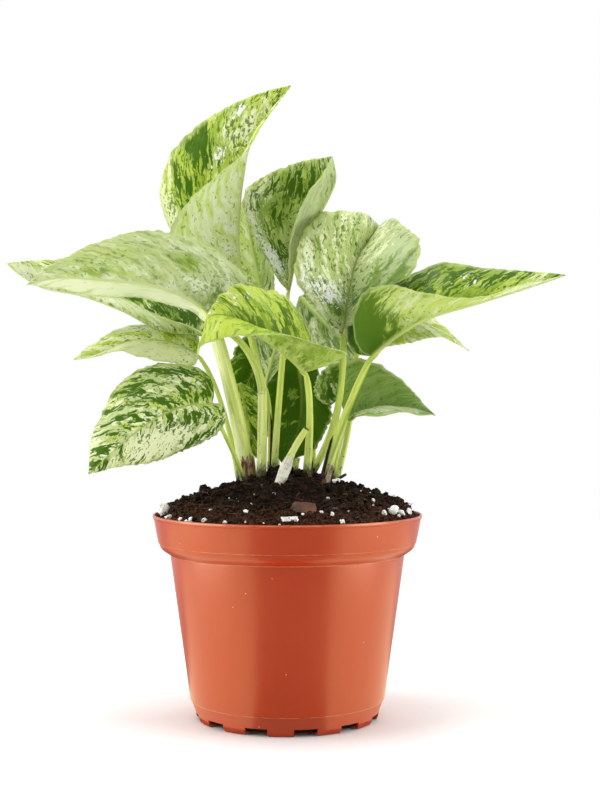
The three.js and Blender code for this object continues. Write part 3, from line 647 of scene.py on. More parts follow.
# The leaf outlines in mm: the midrib from the stalk to the tip, and the left and right margins as seen
# on the upper face with the tip ahead. The stalk runs from the soil to the midrib's start.
leaves = {
    "tall": {
        "midrib": [(-27, 8, 244), (-29, 10, 274), (-26, 8, 306), (-20, 2, 328), (2, -8, 355)],
        "left": [(-27, 14, 235), (-51, 20, 244), (-67, 22, 272), (-74, 20, 301), (-63, 16, 327),
            (-36, 6, 345), (-14, -3, 352)],
        "right": [(-34, 2, 235), (-55, -10, 245), (-65, -16, 267), (-57, -18, 286), (-37, -12, 306),
            (-22, -6, 319), (-10, -8, 339)],
        "stalk": [(-14, -4, 181), (-15, 2, 196), (-24, 7, 224)], "radii": (2.5, 1.6),
    },
    "upper": {
        "midrib": [(0, 16, 242), (5, 17, 264), (9, 16, 275), (17, 12, 284), (24, 6, 296), (27, 0, 304),
            (25, -4, 316)],
        "left": [(-4, 16, 246), (-17, 16, 269), (-26, 18, 297), (-8, 12, 310), (12, 4, 315)],
        "right": [(1, 10, 247), (2, 2, 260), (4, -8, 278), (10, -12, 290), (16, -12, 300), (21, -9, 308)],
        "stalk": [(-8, 6, 127), (-7, 8, 161), (-3, 13, 196)], "radii": (2.1, 1.6),
    },
    "cupped": {
        "midrib": [(32, 5, 221), (36, 8, 244), (40, 18, 260), (48, 32, 273), (56, 52, 283)],
        "left": [(30, 3, 215), (17, -5, 229), (4, -11, 246), (6, -6, 263), (14, 4, 279), (30, 16, 288),
            (46, 32, 289)],
        "right": [(37, 1, 221), (41, -2, 231), (50, -4, 240), (67, -4, 248), (75, 4, 264), (70, 20, 278),
            (61, 36, 286)],
        "stalk": [(8, 4, 128), (33, 1, 164), (31, 2, 190)], "radii": (2.3, 1.7),
    },
    "long_right": {
        "midrib": [(47, -8, 203), (59, -8, 213), (77, -6, 224), (109, -2, 234), (138, 3, 243),
            (159, 6, 250)],
        "left": [(38, 2, 206), (33, 10, 220), (41, 15, 236), (62, 18, 248), (88, 18, 257), (117, 14, 255),
            (142, 9, 252)],
        "right": [(41, -12, 206), (36, -20, 223), (42, -23, 238), (57, -22, 242), (79, -16, 237),
            (108, -8, 237), (137, 0, 245)],
        "stalk": [(19, -4, 124), (26, -5, 156), (35, -7, 179)], "radii": (3.1, 1.8),
    },
    "drooping": {
        "midrib": [(40, 27, 221), (57, 26, 224), (77, 24, 224), (93, 20, 217), (105, 16, 207)],
        "left": [(39, 36, 231), (52, 44, 240), (76, 42, 237), (91, 30, 223), (99, 21, 213)],
        "right": [(37, 20, 213), (44, 12, 207), (67, 6, 211), (87, 9, 214), (98, 13, 211)],
        "stalk": [(25, 27, 120), (40, 50, 165), (42, 46, 200)], "radii": (2, 1.3),
    },
    "low_right": {
        "midrib": [(34, 6, 168), (44, 8, 172), (61, 8, 174), (75, 5, 173), (84, 1, 170)],
        "left": [(31, 11, 176), (30, 17, 190), (36, 22, 201), (50, 25, 201), (65, 21, 191), (78, 10, 177)],
        "right": [(35, -1, 167), (41, -13, 169), (56, -20, 171), (71, -11, 171)],
        "stalk": [(24, 8, 123), (27, 9, 144), (30, 8, 158)], "radii": (2, 1.4),
    },
    "small": {
        "midrib": [(29, 18, 179), (33, 22, 186), (38, 26, 191), (45, 31, 195)],
        "left": [(25, 16, 176), (18, 18, 178), (15, 22, 186), (20, 27, 196), (34, 31, 201)],
        "right": [(33, 18, 176), (40, 20, 178), (46, 24, 183), (48, 28, 189)],
        "stalk": [(20, 16, 124), (26, 20, 152), (30, 18, 167)], "radii": (1.6, 1.1),
    },
    "broad_left": {
        "midrib": [(-43, -20, 226), (-53, -21, 234), (-75, -22, 242), (-103, -22, 245), (-126, -22, 246),
            (-143, -24, 242)],
        "left": [(-36, -24, 226), (-22, -32, 243), (-30, -38, 253), (-44, -41, 263), (-73, -42, 269),
            (-101, -38, 264), (-129, -29, 252)],
        "right": [(-45, -17, 222), (-57, -6, 230), (-78, -2, 235), (-102, -3, 237), (-124, -10, 240),
            (-138, -19, 242)],
        "stalk": [(-21, 2, 122), (-25, -2, 156), (-32, -12, 192)], "radii": (4.9, 3.3),
    },
    "trough_left": {
        "midrib": [(-46, 12, 217), (-72, 12, 219), (-94, 12, 230), (-119, 10, 239), (-140, 6, 243),
            (-152, 2, 250), (-159, 0, 256)],
        "left": [(-45, 2, 213), (-55, -1, 220), (-72, -3, 227), (-95, -1, 236), (-118, 2, 247),
            (-140, 2, 255), (-151, 0, 256)],
        "right": [(-44, 22, 222), (-52, 34, 238), (-76, 38, 250), (-105, 34, 258), (-129, 24, 260),
            (-147, 12, 259)],
        "stalk": [(-14, -4, 183), (-17, 2, 207), (-36, 8, 225)], "radii": (2.6, 1.5),
    },
    "lime_left": {
        "midrib": [(-52, 8, 205), (-64, 6, 211), (-79, 2, 213), (-93, -4, 210), (-105, -9, 204),
            (-119, -13, 201)],
        "left": [(-51, 2, 201), (-56, -6, 198), (-71, -16, 200), (-90, -19, 205), (-105, -16, 203)],
        "right": [(-51, 16, 211), (-54, 24, 219), (-75, 28, 222), (-91, 24, 222), (-104, 10, 216),
            (-113, -4, 208)],
        "stalk": [(-26, 8, 122), (-32, 6, 161), (-40, 8, 191)], "radii": (1.7, 1.2),
    },
    "hanging_left": {
        "midrib": [(-41, -28, 176), (-52, -34, 176), (-68, -40, 170), (-86, -44, 157), (-106, -44, 139)],
        "left": [(-36, -25, 176), (-33, -23, 170), (-38, -23, 161), (-53, -28, 152), (-74, -36, 145),
            (-93, -42, 142)],
        "right": [(-40, -25, 183), (-43, -20, 191), (-54, -16, 198), (-71, -16, 199), (-88, -20, 191),
            (-100, -28, 175), (-105, -36, 158)],
        "stalk": [(-21, -9, 123), (-26, -14, 145), (-37, -20, 162)], "radii": (1.4, 1),
    },
    "arched_front": {
        "midrib": [(10, -14, 194), (-1, -24, 204), (-16, -36, 214), (-30, -46, 223), (-40, -54, 223),
            (-44, -60, 213), (-47, -64, 199)],
        "left": [(17, -18, 196), (29, -27, 200), (32, -32, 204), (21, -40, 208), (2, -50, 212),
            (-19, -62, 213), (-37, -70, 209), (-44, -69, 206)],
        "right": [(15, -6, 202), (15, -4, 211), (8, -8, 226), (-4, -18, 237), (-23, -38, 241),
            (-34, -45, 235), (-41, -52, 225)],
        "stalk": [(10, -6, 125), (14, -9, 167), (13, -12, 184)], "radii": (2.8, 1.7),
    },
    "back_upper": {
        "midrib": [(-15, 30, 239), (-18, 34, 255), (-22, 38, 274), (-27, 42, 298)],
        "left": [(-9, 28, 241), (-8, 26, 253), (-15, 31, 269), (-19, 37, 284)],
        "right": [(-21, 30, 239), (-33, 36, 250), (-38, 42, 268), (-34, 45, 286)],
        "stalk": [(-5, 34, 122), (-9, 56, 165), (-13, 60, 205)], "radii": (1.9, 1.3),
    },
    "back_middle": {
        "midrib": [(7, 57, 241), (18, 54, 229), (31, 49, 216), (44, 42, 206)],
        "left": [(5, 56, 237), (5, 50, 217), (16, 44, 201), (33, 42, 200)],
        "right": [(13, 60, 245), (34, 56, 239), (41, 48, 223)],
        "stalk": [(4, 40, 119), (4, 64, 167), (-1, 72, 209)], "radii": (1.9, 1.3),
    },
    "back_hanging": {
        "midrib": [(6, 41, 201), (8, 36, 182), (6, 30, 161), (-3, 24, 141)],
        "left": [(13, 40, 202), (22, 32, 186), (25, 26, 167), (15, 23, 150)],
        "right": [(0, 44, 204), (-12, 40, 192), (-15, 32, 170), (-10, 26, 152)],
        "stalk": [(14, 34, 120), (17, 60, 166), (14, 62, 203)], "radii": (1.9, 1.3),
    },
    "back_dark": {
        "midrib": [(-12, 31, 218), (-16, 28, 205), (-23, 25, 190), (-29, 23, 177)],
        "left": [(-9, 31, 213), (-10, 27, 196), (-19, 24, 182)],
        "right": [(-18, 31, 220), (-29, 29, 212), (-35, 26, 195)],
        "stalk": [(-17, 25, 122), (-27, 38, 160), (-22, 44, 205)], "radii": (1.7, 1.2),
    },
    "narrow": {
        "midrib": [(-28, 15, 188), (-24, 14, 173), (-21, 13, 160), (-18, 12, 145)],
        "left": [(-23, 15, 187), (-14, 15, 177), (-13, 13, 158)],
        "right": [(-31, 15, 186), (-32, 14, 173), (-26, 12, 157)],
        "stalk": [(-19, 17, 123), (-28, 22, 155), (-36, 21, 180)], "radii": (1.5, 1.1),
    },
    "back_upright": {
        "midrib": [(-13, 16, 187), (-9, 20, 202), (-5, 26, 217), (-1, 36, 238)],
        "left": [(-10, 15, 190), (1, 18, 206), (6, 28, 224)],
        "right": [(-15, 17, 190), (-21, 22, 207), (-15, 31, 227)],
        "stalk": [(-11, 12, 126), (-10, 16, 155), (-9, 18, 173)], "radii": (1.5, 1.1),
    },
}

# A leaf's shares, each from 0 to 1: how green, how cream and how grey it is, and how much painted
# glint it has: white flecks that stand for the glints of its gloss, partly dried lime water marks.
# Lean is how far the side veins run ahead for each mm across, speckle how many small green dots it
# has, depth how deep its green blotches are, and halo how strong the mid green round them is. Then
# come patches: across from -1 at the left margin to 1 at the right, along from 0 at the base to 1 at
# the tip, their spread each way, and what they add to the four shares, then to speckle and depth.
leafLooks = {
    "tall": {"lean": 1.7, "speckle": 0.35, "halo": 0.8, "shares": (0.36, 0.35, 0.05, 0.05), "patches": [
        (-0.9, 0.4, 0.22, 0.12, -0.3, 0.4, 0, 0.2), (-0.55, 0.45, 0.2, 0.1, 0.3, -0.3, 0, 0),
        (-0.7, 0.56, 0.25, 0.07, 0.12, -0.2, -0.1, 0), (-0.85, 0.67, 0.3, 0.06, 0.35, -0.3, 0, 0),
        (-0.4, 0.68, 0.14, 0.06, 0.1, 0, 0.3, 0.45), (-0.75, 0.83, 0.2, 0.05, 0.1, 0.1, 0.4, 0.5),
        (-0.3, 0.8, 0.3, 0.1, -0.05, 0.1, 0.2, 0.1),
        (0.5, 0.4, 0.6, 0.6, -0.42, 0.22, -0.1, -0.1, -0.28, -0.7)]},
    "upper": {"lean": 1.6, "speckle": 0.4, "halo": 0.8, "shares": (0.37, 0.4, 0.65, 0.15), "patches": [
        (-0.9, 0.42, 0.25, 0.2, -0.15, 0.3, 0.3, 0.25), (-0.45, 0.55, 0.22, 0.2, 0.2, -0.3, -0.3, -0.05),
        (-0.65, 0.78, 0.4, 0.12, 0.16, -0.3, -0.3, 0), (-0.5, 0.24, 0.4, 0.13, 0, 0.15, 0.2, 0.5),
        (0.6, 0.5, 0.6, 0.5, -0.2, -0.5, 0.35, -0.3, -0.5, -0.6),
        (-0.05, 0.3, 0.08, 0.3, -0.3, -0.1, -0.6, 0)]},
    "cupped": {"lean": 1.0, "speckle": 0.2, "depth": 0.6, "shares": (0.27, 0.4, 0.85, 0.12), "patches": [
        (-0.5, 0.55, 0.35, 0.25, 0.06, 0, -0.3, 0.04, 0.06), (-0.35, 0.2, 0.2, 0.06, 0.5, -0.4, 0, 0),
        (-0.4, 0.31, 0.45, 0.09, 0.1, 0, 0.1, 0.46), (-0.9, 0.25, 0.12, 0.25, -0.1, 0.3, 0.1, 0.2),
        (0.35, 0.3, 0.25, 0.14, 0.3, -0.2, 0.1, 0), (0.4, 0.78, 0.4, 0.2, -0.1, 0.2, -0.2, 0),
        (0.8, 0.45, 0.32, 0.25, 0.2, -0.4, 0.3, -0.2, -0.3, -0.45)]},
    "long_right": {"lean": 1.8, "speckle": 0.1, "shares": (0.53, 0.3, 0.05, 0.05), "patches": [
        (-0.5, 0.5, 0.5, 0.3, 0.1, -0.1, 0, 0.04), (0.6, 0.08, 0.6, 0.19, 1.0, -0.5, 0, -0.3),
        (0.5, 0.64, 0.6, 0.34, -0.55, 0.05, 0, 0, 0, -0.5), (-0.5, 0.2, 0.5, 0.15, 0.2, -0.3, 0, 0),
        (-0.35, 0.45, 0.3, 0.07, -0.05, 0.1, 0.2, 0.3), (-0.5, 0.68, 0.3, 0.06, 0, 0.1, 0.2, 0.3),
        (0.3, 0.88, 0.6, 0.12, -0.1, 0.35, 0.3, 0), (-0.6, 0.94, 0.5, 0.08, -0.15, 0.15, 0.3, 0)]},
    "drooping": {"lean": 1.5, "speckle": 0.04, "depth": 0.5, "shares": (0.1, 0.5, 0.0, 0), "patches": [
        (0.0, 0.92, 0.9, 0.08, 0.35, 0, 0, 0), (0.8, 0.5, 0.3, 0.4, 0.12, 0, 0.1, 0)]},
    # low_right: the pale grey and cream over its near half is a painted reflection of its gloss, seen edge on
    "low_right": {"lean": 1.4, "speckle": 0.05, "depth": 0.1, "shares": (0.95, 0.08, 0.9, 0), "patches": [
        (-0.75, 0.2, 0.3, 0.2, 0.1, 0, -0.3, 0), (0.5, 0.5, 0.6, 0.5, -0.85, 0.25, 0.4, 0)]},
    "small": {"speckle": 0.4, "shares": (0.45, 0.35, 0.6, 0.12), "patches": [
        (0.4, 0.3, 0.5, 0.3, 0.2, 0, 0, 0)]},
    "broad_left": {"lean": 1.7, "speckle": 0.16, "depth": 0.5, "shares": (0.28, 0.4, 0.8, 0), "patches": [
        (-0.4, 0.2, 0.6, 0.16, 0, 0, 0.1, 0, 0.26), (-0.2, 0.17, 0.2, 0.06, 0.42, -0.2, -0.2, 0, 0.1),
        (-0.6, 0.12, 0.2, 0.05, 0.3, -0.2, 0, 0), (-0.5, 0.4, 0.14, 0.06, 0.36, -0.4, -0.6, 0),
        (-0.6, 0.72, 0.5, 0.18, 0.05, -0.1, -0.4, 0), (0.6, 0.5, 0.6, 0.6, -0.2, 0.5, -0.2, 0, -0.4),
        (-0.15, 0.7, 0.12, 0.3, 0.15, -0.1, -0.4, 0)]},
    "trough_left": {"lean": 1.3, "speckle": 0.3, "shares": (0.4, 0.42, 0.15, 0.05), "patches": [
        (-0.6, 0.5, 0.5, 0.6, 0, 0.1, 0, 0, -0.25), (0.5, 0.35, 0.6, 0.3, 0.22, 0.1, 0.3, 0.2),
        (-0.5, 0.75, 0.7, 0.3, -0.25, 0.35, 0.1, 0), (-0.6, 0.25, 0.4, 0.2, -0.15, 0, -0.1, 0),
        (0.4, 0.88, 0.5, 0.12, -0.2, 0.1, 0.1, 0)]},
    "lime_left": {"lean": 1.3, "speckle": 0.22, "depth": 0.7, "shares": (0.16, 0.5, 0.0, 0), "patches": [
        (0.35, 0.14, 0.3, 0.08, 0.3, -0.2, 0, 0), (0.3, 0.36, 0.35, 0.06, 0.22, -0.1, 0, 0),
        (0.4, 0.6, 0.3, 0.06, 0.12, 0, 0, 0), (-0.6, 0.55, 0.5, 0.5, -0.15, 0.25, 0.9, 0, -0.3)]},
    "hanging_left": {"lean": 0.9, "speckle": 0.34, "halo": 0.5, "shares": (0.52, 0.62, 0.0, 0), "patches": [
        (0.35, 0.5, 0.12, 0.09, 0.1, -0.1, 0.1, 0), (0.75, 0.55, 0.14, 0.09, 0.1, -0.1, 0, 0),
        (0.45, 0.14, 0.3, 0.07, 0.12, -0.1, 0, 0), (-0.6, 0.6, 0.4, 0.3, -0.24, 0.25, 0.1, 0, -0.06),
        (-0.35, 0.36, 0.16, 0.06, 0.16, -0.3, 0.5, 0), (-0.75, 0.2, 0.3, 0.12, 0.06, 0, -0.1, 0)]},
    "arched_front": {"lean": 1.1, "speckle": 0.15, "depth": 0.85, "shares": (0.36, 0.3, 0.0, 0), "patches": [
        (-0.6, 0.5, 0.5, 0.6, 0.06, -0.12, 0, 0, -0.3, -0.7), (0.5, 0.3, 0.4, 0.25, 0.14, -0.1, 0, 0),
        (0.75, 0.62, 0.14, 0.16, 0.05, 0.1, 0.2, 0.35), (0.15, 0.55, 0.16, 0.2, 0.2, -0.1, 0, 0),
        (-0.5, 0.3, 0.7, 0.45, 0.1, -0.5, 0, 0), (0.3, 0.9, 0.8, 0.1, -0.1, 0.1, 0.1, 0)]},
    "back_upper": {"lean": 1.6, "shares": (0.3, 0.35, 0.5, 0), "patches": [
        (0.5, 0.5, 0.6, 0.5, -0.1, 0, -0.3, 0)]},
    "back_middle": {"speckle": 0.4, "shares": (0.4, 0.45, 0.85, 0.12), "patches": []},
    "back_hanging": {"speckle": 0.2, "shares": (0.85, 0.1, 0.1, 0), "patches": [
        (0.3, 0.5, 0.2, 0.2, -0.2, 0.1, 0.4, 0)]},
    "back_dark": {"shares": (0.72, 0.2, 0.35, 0.05), "patches": []},
    "narrow": {"shares": (0.5, 0.2, 0.15, 0), "patches": [(0.6, 0.3, 0.4, 0.4, -0.2, 0.1, 0.6, 0)]},
    "back_upright": {"shares": (0.4, 0.45, 0.55, 0), "patches": []},
}
plainLook = {"lean": 1.0, "speckle": 0.3, "depth": 1.0, "halo": 1.0}    # where a leaf names none

# The marbling follows the side veins: the length and width of each pattern along them in mm, a shift
# that sets it apart from the others, and its detail.
marbling = {
    "streaks": (16, 4.6, 0, 3.5), "blots": (6.4, 1.8, 31, 2.6), "grains": (1.7, 1.1, 203, 2.0),
    "midStreaks": (13, 4.4, 143, 5.0), "creamStreaks": (12, 4.0, 77, 5.0), "veinLines": (34, 1.1, 12, 2.0),
    "gathers": (9, 7, 311, 2.0), "speckles": (2.1, 1.4, 211, 1.6), "crumples": (3.6, 2.2, 55, 4.0),
    "puckers": (4.4, 3.2, 91, 4.0), "ripples": (32, 5.0, 67, 1.0),
}
# How far the patterns bend, and how their lattice is turned so that no rows show. A wanted share pushes
# a pattern by this much towards the threshold.
marblingSpread = {"bendMm": 4.5, "bendEveryMm": 6, "latticeTurn": (0.5, 0.4, 0.6), "push": 0.42,
                  "threshold": 0.71}


def marbledLeaf(name, palette, finish):
    material, tree = newMaterial(name)
    # what each leaf writes on its points: distances along its veins, its shares, and its marks
    place = addNode(tree, "Attribute", attribute_name="veinPlace").outputs["Vector"]
    shares = addNode(tree, "Attribute", attribute_name="leafShares")
    share = addNode(tree, "SeparateColor", {"Color": shares.outputs["Color"]}).outputs
    green, cream, grey, depth = share["Red"], share["Green"], share["Blue"], shares.outputs["Alpha"]
    marks = addNode(tree, "Attribute", attribute_name="leafMarks")
    mark = addNode(tree, "SeparateColor", {"Color": marks.outputs["Color"]}).outputs
    paintedGlints, rib, edge, speckle = mark["Red"], mark["Green"], mark["Blue"], marks.outputs["Alpha"]
    halo = addNode(tree, "Attribute", attribute_name="leafHalo").outputs["Fac"]

    # the veins' lines are bent a little, so that nothing runs as straight as a comb
    bendMm, bendEvery = marblingSpread["bendMm"], marblingSpread["bendEveryMm"]
    bend = addNode(tree, "TexNoise", {"Vector": place, "Scale": 1 / bendEvery, "Detail": 3.0})
    bent = addNode(tree, "VectorMath", {0: bend.outputs["Color"], 1: (0.5, 0.5, 0.5)}, operation="SUBTRACT")
    bent = addNode(tree, "VectorMath", {0: bent, 1: (bendMm, bendMm, 0), 2: place}, operation="MULTIPLY_ADD")
    pattern = {}
    for title, (longMm, wideMm, shift, detail) in marbling.items():
        stretched = addNode(tree, "Mapping", {
            "Vector": bent, "Location": (shift, shift, shift), "Rotation": marblingSpread["latticeTurn"],
            "Scale": (1 / longMm, 1 / wideMm, 1)})
        pattern[title] = addNode(tree, "TexNoise", {
            "Vector": stretched, "Scale": 1.0, "Detail": detail, "Roughness": 0.6})
    for title, factor, first, second in (    # patterns that are mixed from two others
            ("fine", 0.5, "blots", "grains"), ("mids", 0.4, "midStreaks", "fine"),
            ("creams", finish["fine"], "creamStreaks", "grains"), ("blotches", 0.5, "streaks", "blots"),
            ("crumpled", 0.5, "crumples", "grains"), ("puckered", 0.4, "puckers", "ripples"),
            ("relief", 0.2, "puckered", "veinLines")):
        pattern[title] = addNode(tree, "Mix", {
            "Factor": factor, "A": pattern[first], "B": pattern[second]}, data_type="RGBA")
    gathered = addNode(tree, "MapRange", {
        "Value": pattern["gathers"], "From Min": 0.4, "From Max": 0.62, "To Min": 0.25, "To Max": 1.25})
    dotted = addNode(tree, "Math", {0: gathered, 1: speckle}, operation="MULTIPLY")

    def coveredShare(title, wanted, shift, soft, most=1.0):
        # where the pattern passes a threshold that moves with the wanted share
        push, middle = marblingSpread["push"], marblingSpread["threshold"] + shift
        pushed = addNode(tree, "Math", {0: wanted, 1: push, 2: pattern[title]}, operation="MULTIPLY_ADD")
        return addNode(tree, "MapRange", {
            "Value": pushed, "From Min": middle - soft, "From Max": middle + soft, "To Max": most},
            interpolation_type="SMOOTHSTEP")

    tone = {}    # the warm tones give way to cool ones where the leaf is grey
    for title, warm, cool in (
            ("ground", "lime", "grey"), ("mid", "green", "coolGreen"), ("deep", "deep", "coolDeep")):
        tone[title] = addNode(tree, "Mix", {
            "Factor": grey, "A": palette[warm], "B": palette[cool]}, data_type="RGBA")
    veinShare = addNode(tree, "MapRange", {
        "Value": pattern["veinLines"], "From Min": 0.45, "From Max": 0.62, "To Max": finish["lines"]})
    colour = tone["ground"]
    for covered, over in (    # from the bottom layer to the top
            (coveredShare("creams", cream, 0, finish["creamSoft"]), palette["cream"]),
            (coveredShare("mids", green, -0.02, finish["crisp"] * 2, halo), tone["mid"]),
            (veinShare, palette["line"]),
            (coveredShare("blotches", green, 0.025, finish["crisp"], depth), tone["deep"]),
            (coveredShare("speckles", dotted, -0.02, 0.02, finish["speckles"]), tone["deep"]),
            (rib, palette["rib"]), (edge, palette["edge"])):
        colour = addNode(tree, "Mix", {"Factor": covered, "A": colour, "B": over}, data_type="RGBA")
    # the white flecks are painted glints of the gloss, partly dried lime water marks; they also crumple the
    # bump
    glintCover = coveredShare("crumpled", paintedGlints, 0.0, 0.008)
    skinColour = addNode(tree, "Mix", {
        "Factor": glintCover, "A": colour, "B": palette["paintedGlint"]}, data_type="RGBA")
    lightThrough = addNode(tree, "Mix", {
        "Factor": 0.5, "A": colour, "B": palette["glow"]}, data_type="RGBA")

    bump = addNode(tree, "Bump", {
        "Height": pattern["relief"], "Strength": finish["bump"], "Distance": finish["bumpMm"] * mm})
    crumple = addNode(tree, "Bump", {
        "Height": glintCover, "Strength": 0.35, "Distance": 0.2 * mm, "Normal": bump})
    rough = addNode(tree, "MapRange", {
        "Value": pattern["streaks"], "From Min": 0.3, "From Max": 0.7,
        "To Min": finish["rough"][0], "To Max": finish["rough"][1]})
    skin = addNode(tree, "BsdfPrincipled", {
        "Base Color": skinColour, "Roughness": rough, "IOR": 1.42, "Specular IOR Level": finish["gloss"],
        "Specular Tint": palette["sheen"], "Normal": crumple})
    through = addNode(tree, "BsdfTranslucent", {"Color": lightThrough, "Normal": bump})
    surface = addNode(tree, "MixShader", {0: finish["through"], 1: skin, 2: through})
    addNode(tree, "OutputMaterial", {"Surface": surface})
    return material


# A variegated leaf's upper skin: a waxy cuticle over marbled green and cream, satin gloss that breaks
# up where the blade puckers between its veins, and white flecks painted on as glints of that gloss,
# partly dried lime water marks. Light comes through it warm and yellow green.
leafUpper = marbledLeaf(
    "leafCuticleUpper",
    {"lime": "#bdd046", "grey": "#b8c794", "cream": "#eef2c8", "green": "#88a71f", "coolGreen": "#7a9a4a",
     "deep": "#3c6705", "coolDeep": "#34580e", "line": "#dbe8a4", "rib": "#c6da6a", "edge": "#d2e184",
     "paintedGlint": "#fbfcfa", "glow": "#c2d83c", "sheen": "#eaf5b4"},
    {"gloss": 0.32, "rough": (0.24, 0.38), "through": 0.22, "bump": 0.9, "bumpMm": 1.1,
     "crisp": 0.014, "fine": 0.35, "creamSoft": 0.045, "lines": 0.2, "speckles": 0.8})
# The underside is the same marbling seen through a paler, duller skin with raised veins.
leafLower = marbledLeaf(
    "leafSkinUnder",
    {"lime": "#cbdd6b", "grey": "#bfcb9e", "cream": "#f2f5dc", "green": "#9ab93c", "coolGreen": "#8ea662",
     "deep": "#466e0b", "coolDeep": "#5c7f34", "line": "#e6efb8", "rib": "#d0e080", "edge": "#d9e69a",
     "paintedGlint": "#e9eedd", "glow": "#c5e03c", "sheen": "#e6f2b0"},
    {"gloss": 0.2, "rough": (0.42, 0.56), "through": 0.25, "bump": 0.35, "bumpMm": 0.4,
     "crisp": 0.055, "fine": 0.15, "creamSoft": 0.13, "lines": 0.28, "speckles": 0.6})


def leafSurface(shape, phase):
    # points, upward directions, distances across and reach for every grid point, row by row
    shares = np.linspace(0, 1, leafMesh["rows"] + 1)
    spine = smoothCurve(shape["midrib"], shares ** leafMesh["veinCrowding"])
    ahead = unit(np.gradient(spine, axis=0))
    swell = np.sin(np.pi * shares) ** 0.5
    points, ups, across = [], [], []
    for step in np.linspace(-1, 1, 2 * leafMesh["halfColumns"] + 1):
        reach = abs(step) ** leafMesh["columnCrowding"]
        side = math.copysign(1, step)
        margin = shape["left"] if step < 0 else shape["right"]
        edge = smoothCurve([shape["midrib"][0], *margin, shape["midrib"][-1]], shares)
        out = edge - spine
        size = np.linalg.norm(out, axis=1, keepdims=True)
        ragged = np.array([sum(much * noise.noise(Vector((share * often, phase, lane * side)))
                               for much, often, lane in leafMesh["ruffles"]) for share in shares])
        out = out * (1 + leafMesh["ruffleMm"] * ragged[:, None] * swell[:, None] / np.maximum(size, 8))
        up = unit(np.cross(ahead, out) if step < 0 else np.cross(out, ahead))
        arch = 4 * reach * (1 - reach) * size
        point = (spine + out * reach - ahead * arch * leafMesh["sweep"] * swell[:, None]
                 + up * arch * leafMesh["arch"])
        puff = np.abs(np.sin(np.pi * leafMesh["sideVeins"] * shares + phase)) ** 0.7
        quilt = leafMesh["quiltMm"] * (puff - 0.6)
        wave = leafMesh["waveMm"] * np.sin(2 * np.pi * leafMesh["waves"] * shares + phase + side) * reach ** 3
        lift = (quilt * math.sin(math.pi * min(reach, 1)) + wave) * swell
        for row in range(1, len(shares) - 1):
            where = Vector((side * reach * size[row, 0] / 8, shares[row] * 9, phase))
            lift[row] += leafMesh["puckerMm"] * noise.noise(where) * swell[row] * min(1, reach * 5)
        lift -= leafMesh["ribDepthMm"] * math.exp(-(reach / 0.03) ** 2) * swell
        points.append(point + up * lift[:, None])
        ups.append(up)
        across.append(side * reach * size[:, 0])
    order = (1, 0, 2)
    return np.array(points).transpose(order), np.array(ups).transpose(order), np.array(across).T, shares


def makeLeaf(name, index):
    shape, look = leaves[name], {**plainLook, **leafLooks[name]}
    points, ups, across, shares = leafSurface(shape, index * 1.7)
    rows, columns = across.shape
    leaf = gridPiece("leaf_" + name, columns - 1, rows - 1, [leafUpper, leafLower])
    layPoints(leaf, points)
    length = np.linalg.norm(np.diff(points[:, columns // 2], axis=0), axis=1).sum()
    along = np.repeat(shares[:, None], columns, 1)
    steps = np.linspace(-1, 1, columns)
    reach = np.repeat((np.sign(steps) * np.abs(steps) ** leafMesh["columnCrowding"])[None], rows, 0)
    # distances along and across the side veins, which lean towards the tip
    lean = math.atan(look["lean"])
    outward, onward = np.abs(across), along * length
    writeAttribute(leaf, "veinPlace", "FLOAT_VECTOR", np.stack([
        outward * math.cos(lean) + onward * math.sin(lean),
        onward * math.cos(lean) - outward * math.sin(lean), index * 4.7 + 60 * np.sign(across)], -1))
    levels = np.ones((rows, columns, 1)) * np.array([*look["shares"], look["speckle"], look["depth"]])
    for atReach, atShare, spreadReach, spreadShare, *change in look["patches"]:
        near = np.exp(-((reach - atReach) / spreadReach) ** 2 - ((along - atShare) / spreadShare) ** 2)
        levels[..., :len(change)] += near[..., None] * np.array(change)
    rib = np.exp(-(across / (1.1 - 0.8 * along)) ** 2) * (0.85 - 0.5 * along)
    rim = np.clip((np.abs(reach) - 0.95) / 0.05, 0, 1) * 0.55
    green, cream, grey, paintedGlints, speckle, depth = levels.transpose(2, 0, 1)
    writeAttribute(leaf, "leafShares", "FLOAT_COLOR", np.stack([green, cream, grey, depth], -1))
    # the marks carry the painted glints, the pale midrib, the pale rim and the speckle
    writeAttribute(leaf, "leafMarks", "FLOAT_COLOR", np.stack([paintedGlints, rib, rim, speckle], -1))
    writeAttribute(leaf, "leafHalo", "FLOAT", np.full(rib.size, look["halo"]))

    # thick along the midrib, thin between, thinner still at the rim
    ribs = leaf.vertex_groups.new(name="ribs")
    keel = np.exp(-(across / (1.5 - 1.0 * along)) ** 2) * (1 - along) ** 0.8
    thick = leafMesh["thinShare"] + (1 - leafMesh["thinShare"]) * keel
    thick *= 1 - leafMesh["thinRim"] * np.clip((np.abs(reach) - 0.9) / 0.1, 0, 1)
    for corner, weight in enumerate(thick.ravel()):
        ribs.add([corner], float(weight), "REPLACE")
    facing = sum(face.normal.dot(Vector(up)) for face, up in
                 zip(leaf.data.polygons, ups[:-1, :-1].reshape(-1, 3)[:len(leaf.data.polygons)]))
    if facing < 0:
        leaf.data.flip_normals()
    closeSeams(leaf)
    applyModifier(leaf, "SOLIDIFY", thickness=leafMesh["thicknessMm"] * mm, offset=-1, vertex_group="ribs",
                  material_offset=1, material_offset_rim=1, use_rim=True)
    bpy.ops.object.shade_smooth()
    keepAs(leaf, "leaf", "blade_" + name)
    return points, ups


leafBases = {}    # each leaf's midrib and the way its base faces, for its stalk
for index, name in enumerate(leaves):
    points, ups = makeLeaf(name, index)
    leafBases[name] = (points[:, leafMesh["halfColumns"]], unit(ups[3, 2] + ups[3, -3]))
print("leaves made:", len(leaves))


